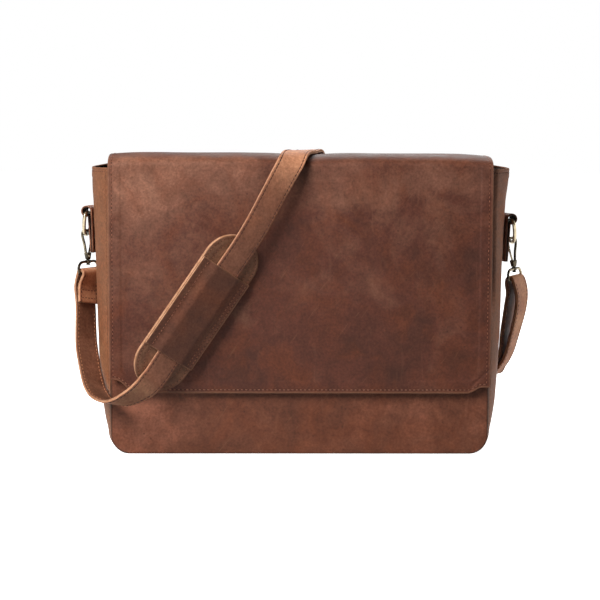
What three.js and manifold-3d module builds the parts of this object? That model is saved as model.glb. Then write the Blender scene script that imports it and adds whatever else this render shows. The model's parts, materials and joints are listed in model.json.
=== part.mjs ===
// Leather messenger bag with a front flap and a padded shoulder strap.
// Millimetres, +X to the right seen from the flap side, +Y to the back, +Z up,
// origin at the middle of the base.
import * as THREE from 'three';
import { mergeVertices } from 'three/addons/utils/BufferGeometryUtils.js';
import Module from 'manifold-3d';

const wasm = await Module();
wasm.setup();

// Driving dimensions
const gap = 0.3;
const body = { halfWidth: 189, depth: 90, height: 286, cornerRadius: 26, wall: 2, frontCrown: 2 };
const flap = {
  topHalfWidth: 192, hemHalfWidth: 190, thickness: 2.2, seamHeight: 245, shoulderHeight: 287,
  topHeight: 299.5, roundness: 2.6, frontTop: 49.7, frontHem: 52.2, crown: 1.5, droop: 2,
  hemHeight: 60, cornerStart: 160, cornerLift: 8,
};
const tab = {
  loopOut: 214.2, depthAt: 10, width: 22, loopRadius: 5.75, leather: 1.7, stemOut: 206.9, turn: 11,
};
const ring = { halfWidth: 15, drop: 22.8, wire: 1.85, corner: 4 };
const hook = {
  wire: 1.35, height: 29.5, bowHalfWidth: 5.5, collarTop: 3.2, collarBottom: 2.4, collarHeight: 7,
  collarDepth: 5.6, pinRadius: 0.9, pinX: 0.8, pinZ: 4, slotHalf: 1.3, postRadius: 1.25,
  headRadius: 2.2, headHeight: 1.5, foot: { x: 2, z: 4.5 }, waist: { x: 3.3, z: 15 },
  shoulder: { x: 0.8, z: 1 }, crownIn: 2.6, bendDrop: 4,
};
const gate = { length: 15.5, lean: 14, width: 2.2, thickness: 2, eyeRadius: 2, noseGap: 0.4 };
const swivel = {
  wire: 1.4, halfWidth: 15, drop: 11.4, bossRadius: 2.7, bossHeight: 3.6, topCorner: 7, barCorner: 3.5,
};
const strap = { width: 26, thickness: 3.2, sewnGap: 0.5, looseGap: 3, foldRadius: 3.7, stepsPerRow: 3 };
const pad = {
  centre: [-101.5, -73.4, 143.5], along: [0.562, 0.03, 0.826], tilt: 25,
  length: 176, width: 59, base: 5, coverLength: 102, cover: 2, channelSpare: 1, ramp: 4,
  strapShares: [-0.44, -0.3, -0.15, 0.15, 0.3, 0.46],
};
const slider = { opening: 27.5, bar: 3.5, length: 8 };

// Steps across and along each sheet, and the shares of those steps on its stretches
const facets = {
  gusset: { across: 8, along: 44, side: 0.34, corner: 0.11, base: 0.05 },
  panel: { across: 12, along: 15, corner: 0.4 },
  flap: { across: 16, along: 36, back: 0.1, top: 0.42 },
  wire: 8, rod: 10, ring: 26, bow: 20, swivel: 30,
};

// The two sides: heights of the tab, outward lean of ring and hook, turns of hook and swivel about the
// hook's axis
const sides = {
  left: {
    sign: -1, loopHeight: 241, stemEnd: 199, ringLean: 8, hookLean: -2, hookTurn: 35, swivelTurn: 54,
  },
  right: {
    sign: 1, loopHeight: 234.5, stemEnd: 191, ringLean: 9.5, hookLean: 5.5, hookTurn: 35, swivelTurn: 57,
  },
};

// How far the gusset's side bulges past the panels' edge, by height above the base
const gussetSections = [
  { height: 26, bulge: 9 },
  { height: 46, bulge: 11 },
  { height: 83, bulge: 14 },
  { height: 119, bulge: 15.7 },
  { height: 185, bulge: 17.4 },
  { height: 248, bulge: 20 },
  { height: 286, bulge: 22 },
];

// Strap sections from the left limb under the fold to the pad: centre and direction across the strap
const leftLimb = [
  { at: [-220.5, 14, 164], across: [0.63, 0.77, -0.04] },
  { at: [-218.4, 9, 146], across: [0.66, 0.75, -0.05] },
  { at: [-216.6, -5, 110], across: [0.72, 0.69, -0.06] },
  { at: [-213, -21, 91], across: [0.73, 0.68, -0.08] },
  { at: [-209, -33, 76], across: [0.7, 0.71, -0.08] },
  { at: [-203.5, -48, 63], across: [0.6, 0.79, -0.04] },
  { at: [-196.3, -61, 56], across: [0.48, 0.87, -0.08] },
  { at: [-187, -68, 53], across: [0.4, 0.89, -0.2] },
  { at: [-175, -74, 55.5], across: [0.45, 0.8, -0.4] },
  { at: [-158.5, -79.5, 66], across: [0.62, 0.6, -0.5] },
];
// From the pad over the top of the flap, down the back and round to the right limb
const overTop = [
  { at: [-44.5, -70, 229], across: [0.82, 0.38, -0.42] },
  { at: [-20, -66, 275], across: [0.9, 0.34, -0.28] },
  { at: [-10.5, -59, 292], across: [0.93, 0.24, -0.24] },
  { at: [-5, -42, 300.8], across: [0.97, -0.12, -0.1] },
  { at: [4, 0, 301.6], across: [0.98, -0.2, 0] },
  { at: [12, 38, 300.6], across: [0.97, -0.12, 0.1] },
  { at: [18, 53, 289], across: [0.93, 0.1, 0.33] },
  { at: [34, 58, 266], across: [0.87, 0.2, 0.45] },
];
const backRun = [
  { at: [88, 63, 206], across: [0.79, 0.3, 0.53] },
  { at: [142, 67, 147], across: [0.75, 0.4, 0.52] },
  { at: [168, 68, 112], across: [0.7, 0.5, 0.5] },
  { at: [184, 65, 88], across: [0.62, 0.67, 0.4] },
  { at: [195, 58, 74], across: [0.52, 0.83, 0.2] },
  { at: [204, 47, 70], across: [0.46, 0.88, 0.08] },
  { at: [210, 34, 78], across: [0.42, 0.9, 0.05] },
  { at: [215, 23.5, 92], across: [0.42, 0.9, 0.05] },
  { at: [220, 14, 116], across: [0.45, 0.89, 0.05] },
  { at: [226.5, 11, 144], across: [0.5, 0.86, 0.06] },
  { at: [228.2, 10.5, 160], across: [0.53, 0.84, 0.07] },
];
// The strap's tail runs back inside the right limb: distance from the limb, one row for each of its rows
const tailOffsets = [
  { row: 10, offset: 10 },
  { row: 9, offset: 12 },
  { row: 8, offset: 10 },
  { row: 7, offset: 5.6 },
  { row: 6, offset: 4.6 },
  { row: 5, offset: 4 },
  { row: 4, offset: 3.8 },
  { row: 3, offset: 3.8 },
  { row: 2, offset: 3.8 },
  { row: 1, offset: 3.8 },
];

const degrees = Math.PI / 180;
const vector = (values) => new THREE.Vector3(...values);

// Geometry from vertices and triangles
function meshGeometry(vertices, triangles) {
  const geometry = new THREE.BufferGeometry();
  const coordinates = vertices.flatMap((p) => p.toArray());
  geometry.setAttribute('position', new THREE.Float32BufferAttribute(coordinates, 3));
  geometry.setIndex(triangles);
  geometry.computeVertexNormals();
  return geometry;
}

// A closed sheet of leather: a grid on surface(u, v), thickened inwards along the surface normal
function sheetGeometry(surface, { across: uCount, along: vCount }, thickness) {
  const outer = [];
  const inner = [];
  const probe = 1e-3;
  for (let i = 0; i <= vCount; i += 1) {
    for (let j = 0; j <= uCount; j += 1) {
      const u = j / uCount;
      const v = i / vCount;
      const du = surface(Math.min(u + probe, 1), v).sub(surface(Math.max(u - probe, 0), v));
      const dv = surface(u, Math.min(v + probe, 1)).sub(surface(u, Math.max(v - probe, 0)));
      const normal = du.cross(dv).normalize();
      const point = surface(u, v);
      outer.push(point);
      inner.push(point.clone().addScaledVector(normal, -thickness));
    }
  }
  const width = uCount + 1;
  const count = outer.length;
  const triangles = [];
  const quad = (a, b, c, d) => triangles.push(a, b, c, a, c, d);
  for (let i = 0; i < vCount; i += 1) {
    for (let j = 0; j < uCount; j += 1) {
      const a = i * width + j;
      quad(a, a + 1, a + 1 + width, a + width);
      quad(a + count, a + width + count, a + 1 + width + count, a + 1 + count);
    }
  }
  for (let j = 0; j < uCount; j += 1) {
    const last = vCount * width + j;
    quad(j + 1, j, j + count, j + 1 + count);
    quad(last, last + 1, last + 1 + count, last + count);
  }
  for (let i = 0; i < vCount; i += 1) {
    const first = i * width;
    const last = first + uCount;
    quad(first, first + width, first + width + count, first + count);
    quad(last + width, last, last + count, last + width + count);
  }
  return meshGeometry([...outer, ...inner], triangles);
}

// A solid swept through rings of points; each ring turns left about the direction of travel
function sweepGeometry(rings, closed) {
  const size = rings[0].length;
  const triangles = [];
  const spans = closed ? rings.length : rings.length - 1;
  for (let i = 0; i < spans; i += 1) {
    const here = i * size;
    const next = ((i + 1) % rings.length) * size;
    for (let k = 0; k < size; k += 1) {
      const m = (k + 1) % size;
      triangles.push(here + k, here + m, next + m, here + k, next + m, next + k);
    }
  }
  if (!closed) {
    const end = (rings.length - 1) * size;
    for (let k = 1; k < size - 1; k += 1) {
      triangles.push(0, k + 1, k, end, end + k, end + k + 1);
    }
  }
  return meshGeometry(rings.flat(), triangles);
}

// Round wire along a flat path of points
function wireGeometry(points, planeNormal, radius, closed) {
  const rings = points.map((point, i) => {
    const before = closed ? points[(i + points.length - 1) % points.length] : points[Math.max(i - 1, 0)];
    const after = closed ? points[(i + 1) % points.length] : points[Math.min(i + 1, points.length - 1)];
    const tangent = after.clone().sub(before).normalize();
    const side = planeNormal.clone().cross(tangent);
    return Array.from({ length: facets.wire }, (_, k) => {
      const angle = ((k + 0.5) / facets.wire) * 2 * Math.PI;
      return point.clone()
        .addScaledVector(side, radius * Math.cos(angle))
        .addScaledVector(planeNormal, radius * Math.sin(angle));
    });
  });
  return sweepGeometry(rings, closed);
}

// Joining and cutting
function toSolid(geometry) {
  const bare = new THREE.BufferGeometry();
  bare.setAttribute('position', geometry.getAttribute('position'));
  bare.setIndex(geometry.index);
  const merged = mergeVertices(bare, 1e-3);
  return new wasm.Manifold(new wasm.Mesh({
    numProp: 3,
    vertProperties: new Float32Array(merged.getAttribute('position').array),
    triVerts: new Uint32Array(merged.index.array),
  }));
}

function fromSolid(solid) {
  const { vertProperties, triVerts } = solid.getMesh();
  const geometry = new THREE.BufferGeometry();
  geometry.setAttribute('position', new THREE.BufferAttribute(vertProperties, 3));
  geometry.setIndex(new THREE.BufferAttribute(triVerts, 1));
  geometry.computeVertexNormals();
  return geometry;
}

// A cylinder along Z between two heights
function rod(radius, from, to) {
  return new THREE.CylinderGeometry(radius, radius, to - from, facets.rod)
    .rotateX(Math.PI / 2).translate(0, 0, (from + to) / 2);
}

// A cylinder along Y, centred
function pinRod(radius, length) {
  return new THREE.CylinderGeometry(radius, radius, length, facets.rod);
}

function block(width, depth, height) {
  return new THREE.BoxGeometry(width, depth, height);
}

// Body

// Bulge of the gusset's side at a height, eased between the table's rows
function gussetBulge(height) {
  const rows = gussetSections;
  const found = rows.findIndex((row) => row.height >= height);
  if (found <= 0) return rows[found === 0 ? 0 : rows.length - 1].bulge;
  const low = rows[found - 1];
  const high = rows[found];
  return THREE.MathUtils.mapLinear(height, low.height, high.height, low.bulge, high.bulge);
}

// The gusset's way along the panels' edge, from the left rim round the base to the right rim
function gussetStation(v) {
  const { halfWidth, height, cornerRadius } = body;
  const share = facets.gusset;
  const mirrored = v > 0.5;
  const t = mirrored ? 1 - v : v;
  let x = -halfWidth;
  let z = cornerRadius;
  let angle = 0;
  let bulge = 0;
  if (t < share.side) {
    z = THREE.MathUtils.lerp(height, cornerRadius, t / share.side);
    bulge = gussetBulge(z);
  } else if (t < share.side + share.corner) {
    angle = ((t - share.side) / share.corner) * Math.PI / 2;
    x = -halfWidth + cornerRadius * (1 - Math.cos(angle));
    z = cornerRadius * (1 - Math.sin(angle));
    bulge = gussetBulge(cornerRadius) * Math.cos(angle) ** 2;
  } else {
    angle = Math.PI / 2;
    z = 0;
    x = THREE.MathUtils.lerp(-halfWidth + cornerRadius, 0, (t - share.side - share.corner) / share.base);
  }
  const flip = mirrored ? -1 : 1;
  return { x: x * flip, z, outX: -Math.cos(angle) * flip, outZ: -Math.sin(angle), bulge };
}

function gussetSurface(u, v) {
  const half = body.depth / 2 - body.wall - gap;
  const y = (2 * u - 1) * half;
  const { x, z, outX, outZ, bulge } = gussetStation(v);
  const out = bulge * Math.cos((y / half) * Math.PI / 2);
  return new THREE.Vector3(x + outX * out, y, z + outZ * out);
}

// Half width and height of a panel row; the lowest share of the rows rounds the corner
function panelRow(v) {
  const { halfWidth, height, cornerRadius } = body;
  const cornerShare = facets.panel.corner;
  if (v < cornerShare) {
    const angle = (v / cornerShare) * Math.PI / 2;
    return {
      half: halfWidth - cornerRadius * (1 - Math.sin(angle)),
      z: cornerRadius * (1 - Math.cos(angle)),
    };
  }
  return { half: halfWidth, z: THREE.MathUtils.mapLinear(v, cornerShare, 1, cornerRadius, height) };
}

function panelSurface(side, crown) {
  return (u, v) => {
    const { half, z } = panelRow(v);
    const across = 2 * u - 1;
    const rise = crown * Math.cos(across * Math.PI / 2) * Math.sin((z / body.height) * Math.PI);
    return new THREE.Vector3(-side * across * half, side * (body.depth / 2 + rise), z);
  };
}

// Outer face of the flap at the middle: up the back, over the top in a rounded arch, down the front
function flapPath(v) {
  const share = facets.flap;
  const backY = body.depth / 2 + gap + flap.thickness;
  if (v < share.back) {
    return { y: backY, z: THREE.MathUtils.lerp(flap.seamHeight, flap.shoulderHeight, v / share.back) };
  }
  if (v < share.back + share.top) {
    const angle = ((v - share.back) / share.top) * Math.PI;
    const power = 2 / flap.roundness;
    const middle = (backY - flap.frontTop) / 2;
    const reach = (backY + flap.frontTop) / 2;
    const swing = Math.sign(Math.cos(angle)) * Math.abs(Math.cos(angle)) ** power;
    const rise = (flap.topHeight - flap.shoulderHeight) * Math.sin(angle) ** power;
    return { y: middle + reach * swing, z: flap.shoulderHeight + rise };
  }
  const t = (v - share.back - share.top) / (1 - share.back - share.top);
  return {
    y: -THREE.MathUtils.lerp(flap.frontTop, flap.frontHem, t),
    z: THREE.MathUtils.lerp(flap.shoulderHeight, flap.hemHeight, t),
    front: t,
  };
}

// The hem rises in a short curve towards each lower corner; the top sinks a little towards the sides
function flapSurface(u, v) {
  const { y, z, front = 0 } = flapPath(v);
  const across = 1 - 2 * u;
  const half = THREE.MathUtils.lerp(flap.topHalfWidth, flap.hemHalfWidth, front);
  const x = across * half;
  const corner = THREE.MathUtils.smoothstep(Math.abs(x), flap.cornerStart, half);
  const lift = flap.cornerLift * corner * front ** 3;
  const top = THREE.MathUtils.smoothstep(z, flap.shoulderHeight, flap.topHeight);
  const droop = flap.droop * across ** 4 * top;
  const crown = flap.crown * Math.cos(across * Math.PI / 2) * Math.sin(front * Math.PI);
  return new THREE.Vector3(x, y - crown, z + lift - droop);
}

// Side tabs: a strip folded into a loop over a stem of two layers
function tabGeometry(side) {
  const { loopRadius, leather, loopOut, stemOut, width } = tab;
  const drop = side.loopHeight - side.stemEnd;
  const stem = 2 * leather;
  const inset = loopRadius - stem;
  const stemIn = stemOut - loopOut;
  const shape = new THREE.Shape();
  shape.moveTo(stemIn, -drop);
  shape.lineTo(-loopRadius, 0);
  shape.absarc(0, 0, loopRadius, Math.PI, -Math.PI / 2 - Math.asin(inset / loopRadius), true);
  shape.lineTo(stemIn + stem, -drop);
  shape.closePath();
  const hole = new THREE.Path();
  hole.absarc(0, 0, loopRadius - leather, 0, 2 * Math.PI, false);
  shape.holes.push(hole);
  const geometry = new THREE.ExtrudeGeometry(shape, { depth: width, bevelEnabled: false, curveSegments: 10 });
  return geometry.translate(0, 0, -width / 2).rotateX(Math.PI / 2);
}

// Metal, in the hanger's own frame: x towards the bag, z up along the hook

// D-ring hanging from its straight bar
function ringGeometry() {
  const { halfWidth, drop, wire, corner } = ring;
  const outline = new THREE.Path();
  outline.moveTo(-halfWidth + corner, 0);
  outline.lineTo(halfWidth - corner, 0);
  outline.absarc(halfWidth - corner, -corner, corner, Math.PI / 2, 0, true);
  outline.absellipse(0, -corner, halfWidth, drop - corner, 0, -Math.PI, true);
  outline.absarc(-halfWidth + corner, -corner, corner, Math.PI, Math.PI / 2, true);
  const spaced = outline.getSpacedPoints(facets.ring).slice(0, facets.ring);
  const points = spaced.map((p) => new THREE.Vector3(0, p.x, p.y));
  return wireGeometry(points, new THREE.Vector3(1, 0, 0), wire, true);
}

// Places of the gate's pin and the nose, from the gate's length and lean
const gateLine = new THREE.Vector3(Math.sin(gate.lean * degrees), 0, Math.cos(gate.lean * degrees));
const gatePin = new THREE.Vector3(hook.pinX, 0, hook.pinZ);
const noseEnd = gatePin.clone().addScaledVector(gateLine, gate.length + gate.noseGap);

function hookGeometry() {
  const { height, collarTop, collarBottom, collarHeight, collarDepth, foot, waist, shoulder } = hook;
  const side = hook.bowHalfWidth;
  const cheek = new THREE.Shape();
  cheek.moveTo(-collarBottom, 0);
  cheek.lineTo(collarBottom, 0);
  cheek.lineTo(collarTop, collarHeight);
  cheek.lineTo(-collarTop, collarHeight);
  const collar = new THREE.ExtrudeGeometry(cheek, { depth: collarDepth, bevelEnabled: false });
  collar.translate(0, 0, -collarDepth / 2).rotateX(Math.PI / 2);

  const bow = new THREE.CatmullRomCurve3([
    new THREE.Vector3(-foot.x, 0, foot.z),
    new THREE.Vector3(-waist.x, 0, waist.z),
    new THREE.Vector3(-side, 0, height - hook.bendDrop),
    new THREE.Vector3(-side + shoulder.x, 0, height - shoulder.z),
    new THREE.Vector3(-side + hook.crownIn, 0, height),
    new THREE.Vector3(side - hook.crownIn, 0, height),
    new THREE.Vector3(side - shoulder.x, 0, height - shoulder.z),
    new THREE.Vector3(side, 0, height - hook.bendDrop),
    noseEnd,
  ]);
  const wire = wireGeometry(bow.getSpacedPoints(facets.bow), new THREE.Vector3(0, 1, 0), hook.wire, false);

  const slotFloor = hook.pinZ - gate.eyeRadius - gap;
  const slotWall = hook.pinX - gate.eyeRadius - gap;
  const slotReach = collarHeight + gap;
  const slot = block(slotReach, 2 * hook.slotHalf, slotReach);
  slot.translate(slotWall + slotReach / 2, 0, slotFloor + slotReach / 2);
  const pin = pinRod(hook.pinRadius, collarDepth).translate(hook.pinX, 0, hook.pinZ);
  const postEnd = -swivel.bossHeight - 2 * gap;
  const sink = hook.headHeight / 2;
  const post = rod(hook.postRadius, postEnd - sink, sink);
  const head = rod(hook.headRadius, postEnd - hook.headHeight, postEnd);
  return fromSolid(toSolid(collar).add(toSolid(wire)).subtract(toSolid(slot))
    .add(toSolid(pin)).add(toSolid(post)).add(toSolid(head)));
}

// Spring gate: an eye on the pin and a flat bar up to the nose
function gateGeometry() {
  const { length, width, thickness, eyeRadius } = gate;
  const eye = pinRod(eyeRadius, thickness);
  const bar = block(width, thickness, length).translate(0, 0, length / 2);
  const hole = pinRod(hook.pinRadius + gap, 2 * thickness);
  const solid = toSolid(eye).add(toSolid(bar)).subtract(toSolid(hole));
  return fromSolid(solid).rotateY(gate.lean * degrees);
}

// Swivel: a wide loop with a boss on its top bar
function swivelGeometry() {
  const { halfWidth, drop, topCorner, barCorner, bossRadius, bossHeight, wire } = swivel;
  const outline = new THREE.Path();
  outline.moveTo(0, 0);
  outline.lineTo(halfWidth - topCorner, 0);
  outline.absarc(halfWidth - topCorner, -topCorner, topCorner, Math.PI / 2, 0, true);
  outline.absarc(halfWidth - barCorner, -drop + barCorner, barCorner, 0, -Math.PI / 2, true);
  outline.lineTo(-halfWidth + barCorner, -drop);
  outline.absarc(-halfWidth + barCorner, -drop + barCorner, barCorner, -Math.PI / 2, -Math.PI, true);
  outline.absarc(-halfWidth + topCorner, -topCorner, topCorner, Math.PI, Math.PI / 2, true);
  outline.lineTo(0, 0);
  const spaced = outline.getSpacedPoints(facets.swivel).slice(0, facets.swivel);
  const points = spaced.map((p) => new THREE.Vector3(p.x, 0, p.y));
  const loop = wireGeometry(points, new THREE.Vector3(0, 1, 0), wire, true);
  const boss = rod(bossRadius, -bossHeight / 2, bossHeight / 2);
  const bore = rod(hook.postRadius + gap, -bossHeight, bossHeight);
  return fromSolid(toSolid(loop).add(toSolid(boss)).subtract(toSolid(bore)));
}

// Finishes
const leather = (color) => new THREE.MeshStandardMaterial({ color, roughness: 0.7, metalness: 0 });
const brass = (color) => new THREE.MeshStandardMaterial({ color, roughness: 0.4, metalness: 0.9 });
const bag = new THREE.Group();

function addPiece(name, geometry, material, parent = bag) {
  const mesh = new THREE.Mesh(geometry, material);
  mesh.name = name;
  parent.add(mesh);
  return mesh;
}

addPiece('gusset', sheetGeometry(gussetSurface, facets.gusset, body.wall), leather('#8d6450'));
const frontFace = panelSurface(-1, body.frontCrown);
addPiece('front_panel', sheetGeometry(frontFace, facets.panel, body.wall), leather('#7a4e3b'));
addPiece('back_panel', sheetGeometry(panelSurface(1, 0), facets.panel, body.wall), leather('#7a4e3b'));
addPiece('flap', sheetGeometry(flapSurface, facets.flap, flap.thickness), leather('#70493a'));

// Metal hangs from each tab's loop; the swivel's bar carries the strap's fold
function addSide(name, side) {
  const { sign, loopHeight, ringLean, hookLean, hookTurn, swivelTurn } = side;
  const facing = sign > 0 ? Math.PI : 0;
  const tabGroup = new THREE.Group();
  tabGroup.position.set(sign * tab.loopOut, tab.depthAt, loopHeight);
  tabGroup.rotation.z = sign * tab.turn * degrees + Math.PI - facing;
  addPiece(`${name}_tab`, tabGeometry(side), leather('#7d5341'), tabGroup);

  const slack = tab.loopRadius - tab.leather - ring.wire - 2 * gap;
  const ringGroup = new THREE.Group();
  ringGroup.position.set(sign * tab.loopOut, tab.depthAt, loopHeight - slack);
  ringGroup.rotation.y = -sign * ringLean * degrees;
  const ringMesh = addPiece(`${name}_ring`, ringGeometry(), brass('#8b7a5a'), ringGroup);
  ringMesh.rotation.z = sign * tab.turn * degrees;

  const bowUnderBar = ring.drop - ring.wire - hook.wire - 3 * gap;
  const hookGroup = new THREE.Group();
  hookGroup.position.copy(ringGroup.position);
  hookGroup.position.add(new THREE.Vector3(0, 0, -bowUnderBar).applyEuler(ringGroup.rotation));
  hookGroup.rotation.set(0, -sign * hookLean * degrees, hookTurn * degrees + facing);
  hookGroup.translateZ(-hook.height);
  addPiece(`${name}_hook`, hookGeometry(), brass('#5c5142'), hookGroup);
  addPiece(`${name}_gate`, gateGeometry(), brass('#5c5142'), hookGroup).position.copy(gatePin);
  const swivelMesh = addPiece(`${name}_swivel`, swivelGeometry(), brass('#7d6d50'), hookGroup);
  swivelMesh.position.z = -gap - swivel.bossHeight / 2;
  swivelMesh.rotation.z = (swivelTurn - hookTurn) * degrees - facing;
  bag.add(tabGroup, ringGroup, hookGroup);

  bag.updateMatrixWorld(true);
  const frame = swivelMesh.matrixWorld;
  return {
    centre: new THREE.Vector3(0, 0, -swivel.drop).applyMatrix4(frame),
    along: new THREE.Vector3(1, 0, 0).transformDirection(frame),
    up: new THREE.Vector3(0, 0, 1).transformDirection(frame),
  };
}

const leftBar = addSide('left', sides.left);
const rightBar = addSide('right', sides.right);

// Pad frame: along the strap, across it and out towards the viewer
const padCentre = vector(pad.centre);
const padAlong = vector(pad.along).normalize();
const padLevel = new THREE.Vector3(0, 1, 0).cross(padAlong).normalize();
const padAcross = padLevel.applyAxisAngle(padAlong, pad.tilt * degrees);
const padOut = padAcross.clone().cross(padAlong);

// Strap

const strapRow = ({ at, across }) => ({ at: vector(at), across: vector(across) });

// Rows round a swivel's bar, from the side that faces the front, over the top, to the rear side
function foldRows(bar) {
  const front = bar.along.clone().cross(bar.up);
  return [0, 45, 90, 135, 180].map((angle) => ({
    at: bar.centre.clone()
      .addScaledVector(front, strap.foldRadius * Math.cos(angle * degrees))
      .addScaledVector(bar.up, strap.foldRadius * Math.sin(angle * degrees)),
    across: bar.along.clone(),
  }));
}

// A row moved off the strap's inner face
function offsetRow(rows, index, offset) {
  const before = rows[Math.max(index - 1, 0)].at;
  const after = rows[Math.min(index + 1, rows.length - 1)].at;
  const inner = after.clone().sub(before).cross(rows[index].across).normalize();
  return { at: rows[index].at.clone().addScaledVector(inner, offset), across: rows[index].across.clone() };
}

const leftRows = leftLimb.map(strapRow);
const foldBack = [
  offsetRow(leftRows, 1, strap.thickness + strap.sewnGap),
  offsetRow(leftRows, 0, strap.thickness + strap.looseGap),
];
const padRows = pad.strapShares.map((share) => ({
  at: padCentre.clone().addScaledVector(padAlong, share * pad.length),
  across: padAcross.clone(),
}));
const backRows = backRun.map(strapRow);
const tailRows = tailOffsets.map(({ row, offset }) => offsetRow(backRows, row, offset));
const strapRows = [
  ...foldBack, ...foldRows(leftBar), ...leftRows, ...padRows, ...overTop.map(strapRow), ...backRows,
  ...foldRows(rightBar), ...tailRows,
];

function strapGeometry() {
  const centre = new THREE.CatmullRomCurve3(strapRows.map((row) => row.at), false, 'catmullrom', 0.5);
  const across = new THREE.CatmullRomCurve3(strapRows.map((row) => row.across), false, 'catmullrom', 0.5);
  const count = (strapRows.length - 1) * strap.stepsPerRow;
  const rings = Array.from({ length: count + 1 }, (_, i) => {
    const point = centre.getPoint(i / count);
    const tangent = centre.getTangent(i / count);
    const side = across.getPoint(i / count);
    side.addScaledVector(tangent, -side.dot(tangent)).normalize();
    const inner = tangent.clone().cross(side);
    return [[-1, -1], [1, -1], [1, 1], [-1, 1]].map(([w, t]) => point.clone()
      .addScaledVector(side, w * strap.width / 2)
      .addScaledVector(inner, t * strap.thickness / 2));
  });
  return sweepGeometry(rings, false);
}

addPiece('strap', strapGeometry(), leather('#8a5d47'));

// Shoulder pad

const padGroup = new THREE.Group();
padGroup.position.copy(padCentre);
padGroup.quaternion.setFromRotationMatrix(
  new THREE.Matrix4().makeBasis(padAlong, padAcross.clone().negate(), padOut));

function padBaseGeometry() {
  const radius = pad.width / 2;
  const straight = pad.length / 2 - radius;
  const shape = new THREE.Shape();
  shape.moveTo(-straight, -radius);
  shape.lineTo(straight, -radius);
  shape.absarc(straight, 0, radius, -Math.PI / 2, Math.PI / 2, false);
  shape.lineTo(-straight, radius);
  shape.absarc(-straight, 0, radius, Math.PI / 2, 1.5 * Math.PI, false);
  const depth = pad.base;
  const geometry = new THREE.ExtrudeGeometry(shape, { depth, bevelEnabled: false, curveSegments: 12 });
  return geometry.translate(0, 0, -strap.thickness / 2 - gap - depth);
}

// Sleeve: flat lands on the base and a raised channel over the strap
function padCoverGeometry() {
  const low = -strap.thickness / 2;
  const high = strap.thickness / 2 + gap;
  const edge = pad.width / 2;
  const channel = strap.width / 2 + pad.channelSpare;
  const ramp = channel + pad.ramp;
  const under = [[-edge, low], [-ramp, low], [-channel, high], [channel, high], [ramp, low], [edge, low]];
  const over = under.map(([y, z]) => [y, z + pad.cover]).reverse();
  const shape = new THREE.Shape([...under, ...over].map(([y, z]) => new THREE.Vector2(y, z)));
  const geometry = new THREE.ExtrudeGeometry(shape, { depth: pad.coverLength, bevelEnabled: false });
  geometry.translate(0, 0, -pad.coverLength / 2);
  const turn = new THREE.Matrix4().makeBasis(
    new THREE.Vector3(0, 1, 0), new THREE.Vector3(0, 0, 1), new THREE.Vector3(1, 0, 0));
  return geometry.applyMatrix4(turn);
}

addPiece('pad_base', padBaseGeometry(), leather('#54392f'), padGroup);
addPiece('pad_cover', padCoverGeometry(), leather('#654539'), padGroup);
bag.add(padGroup);

// Adjuster: a flat frame round the strap and its tail behind the bag
function addSlider() {
  const main = backRows[1];
  const tail = tailRows[tailRows.length - 1];
  const tangent = backRows[2].at.clone().sub(backRows[0].at).normalize();
  const across = main.across.clone().addScaledVector(tangent, -main.across.dot(tangent)).normalize();
  const inner = tangent.clone().cross(across);
  const reach = main.at.distanceTo(tail.at) + strap.thickness + 3 * gap;
  const halfWidth = slider.opening / 2;
  const frame = new THREE.Shape();
  const outline = (path, x, y) => path.moveTo(-x, -y).lineTo(x, -y).lineTo(x, y).lineTo(-x, y).closePath();
  outline(frame, halfWidth + slider.bar, reach / 2 + slider.bar);
  const window = new THREE.Path();
  outline(window, halfWidth, reach / 2);
  frame.holes.push(window);
  const geometry = new THREE.ExtrudeGeometry(frame, { depth: slider.length, bevelEnabled: false });
  geometry.translate(0, 0, -slider.length / 2);
  const mesh = addPiece('strap_slider', geometry, brass('#7d6d50'));
  mesh.position.copy(main.at).lerp(tail.at, 0.5);
  mesh.quaternion.setFromRotationMatrix(new THREE.Matrix4().makeBasis(across, inner, tangent));
}

addSlider();

export default bag;
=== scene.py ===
import json
import math

import bmesh
import bpy
import numpy as np
from mathutils import Matrix, Vector, noise

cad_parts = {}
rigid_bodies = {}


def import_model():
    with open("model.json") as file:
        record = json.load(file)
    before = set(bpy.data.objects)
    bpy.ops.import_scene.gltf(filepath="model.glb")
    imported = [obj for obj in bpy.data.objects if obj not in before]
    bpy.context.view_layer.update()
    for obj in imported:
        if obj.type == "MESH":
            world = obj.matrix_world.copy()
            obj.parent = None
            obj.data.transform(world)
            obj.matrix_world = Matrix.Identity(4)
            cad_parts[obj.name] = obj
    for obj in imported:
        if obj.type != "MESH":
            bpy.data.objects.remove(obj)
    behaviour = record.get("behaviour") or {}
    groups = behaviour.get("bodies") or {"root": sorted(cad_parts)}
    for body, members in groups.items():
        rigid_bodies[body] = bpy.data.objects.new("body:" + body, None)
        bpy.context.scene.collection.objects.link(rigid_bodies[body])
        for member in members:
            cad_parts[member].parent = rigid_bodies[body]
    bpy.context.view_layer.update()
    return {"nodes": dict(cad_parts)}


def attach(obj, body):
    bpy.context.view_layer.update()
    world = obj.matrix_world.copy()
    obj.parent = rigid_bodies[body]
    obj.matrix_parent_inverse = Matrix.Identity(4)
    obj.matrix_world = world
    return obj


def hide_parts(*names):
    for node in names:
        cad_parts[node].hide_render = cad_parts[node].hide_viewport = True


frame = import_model()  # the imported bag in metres, with the bodies bag, left_gate and right_gate
mm = 0.001
gap = 0.3  # mm between neighbouring pieces
print("frame:", len(frame["nodes"]), "nodes")


# Small tools

def linearColour(code):  # sRGB hex to linear RGBA
    values = [int(code[i:i + 2], 16) / 255 for i in (1, 3, 5)]
    return [v / 12.92 if v <= 0.04045 else ((v + 0.055) / 1.055) ** 2.4 for v in values] + [1.0]


def perMetre(size):  # texture scale of a pattern of that size in mm
    return 1000 / size


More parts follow.
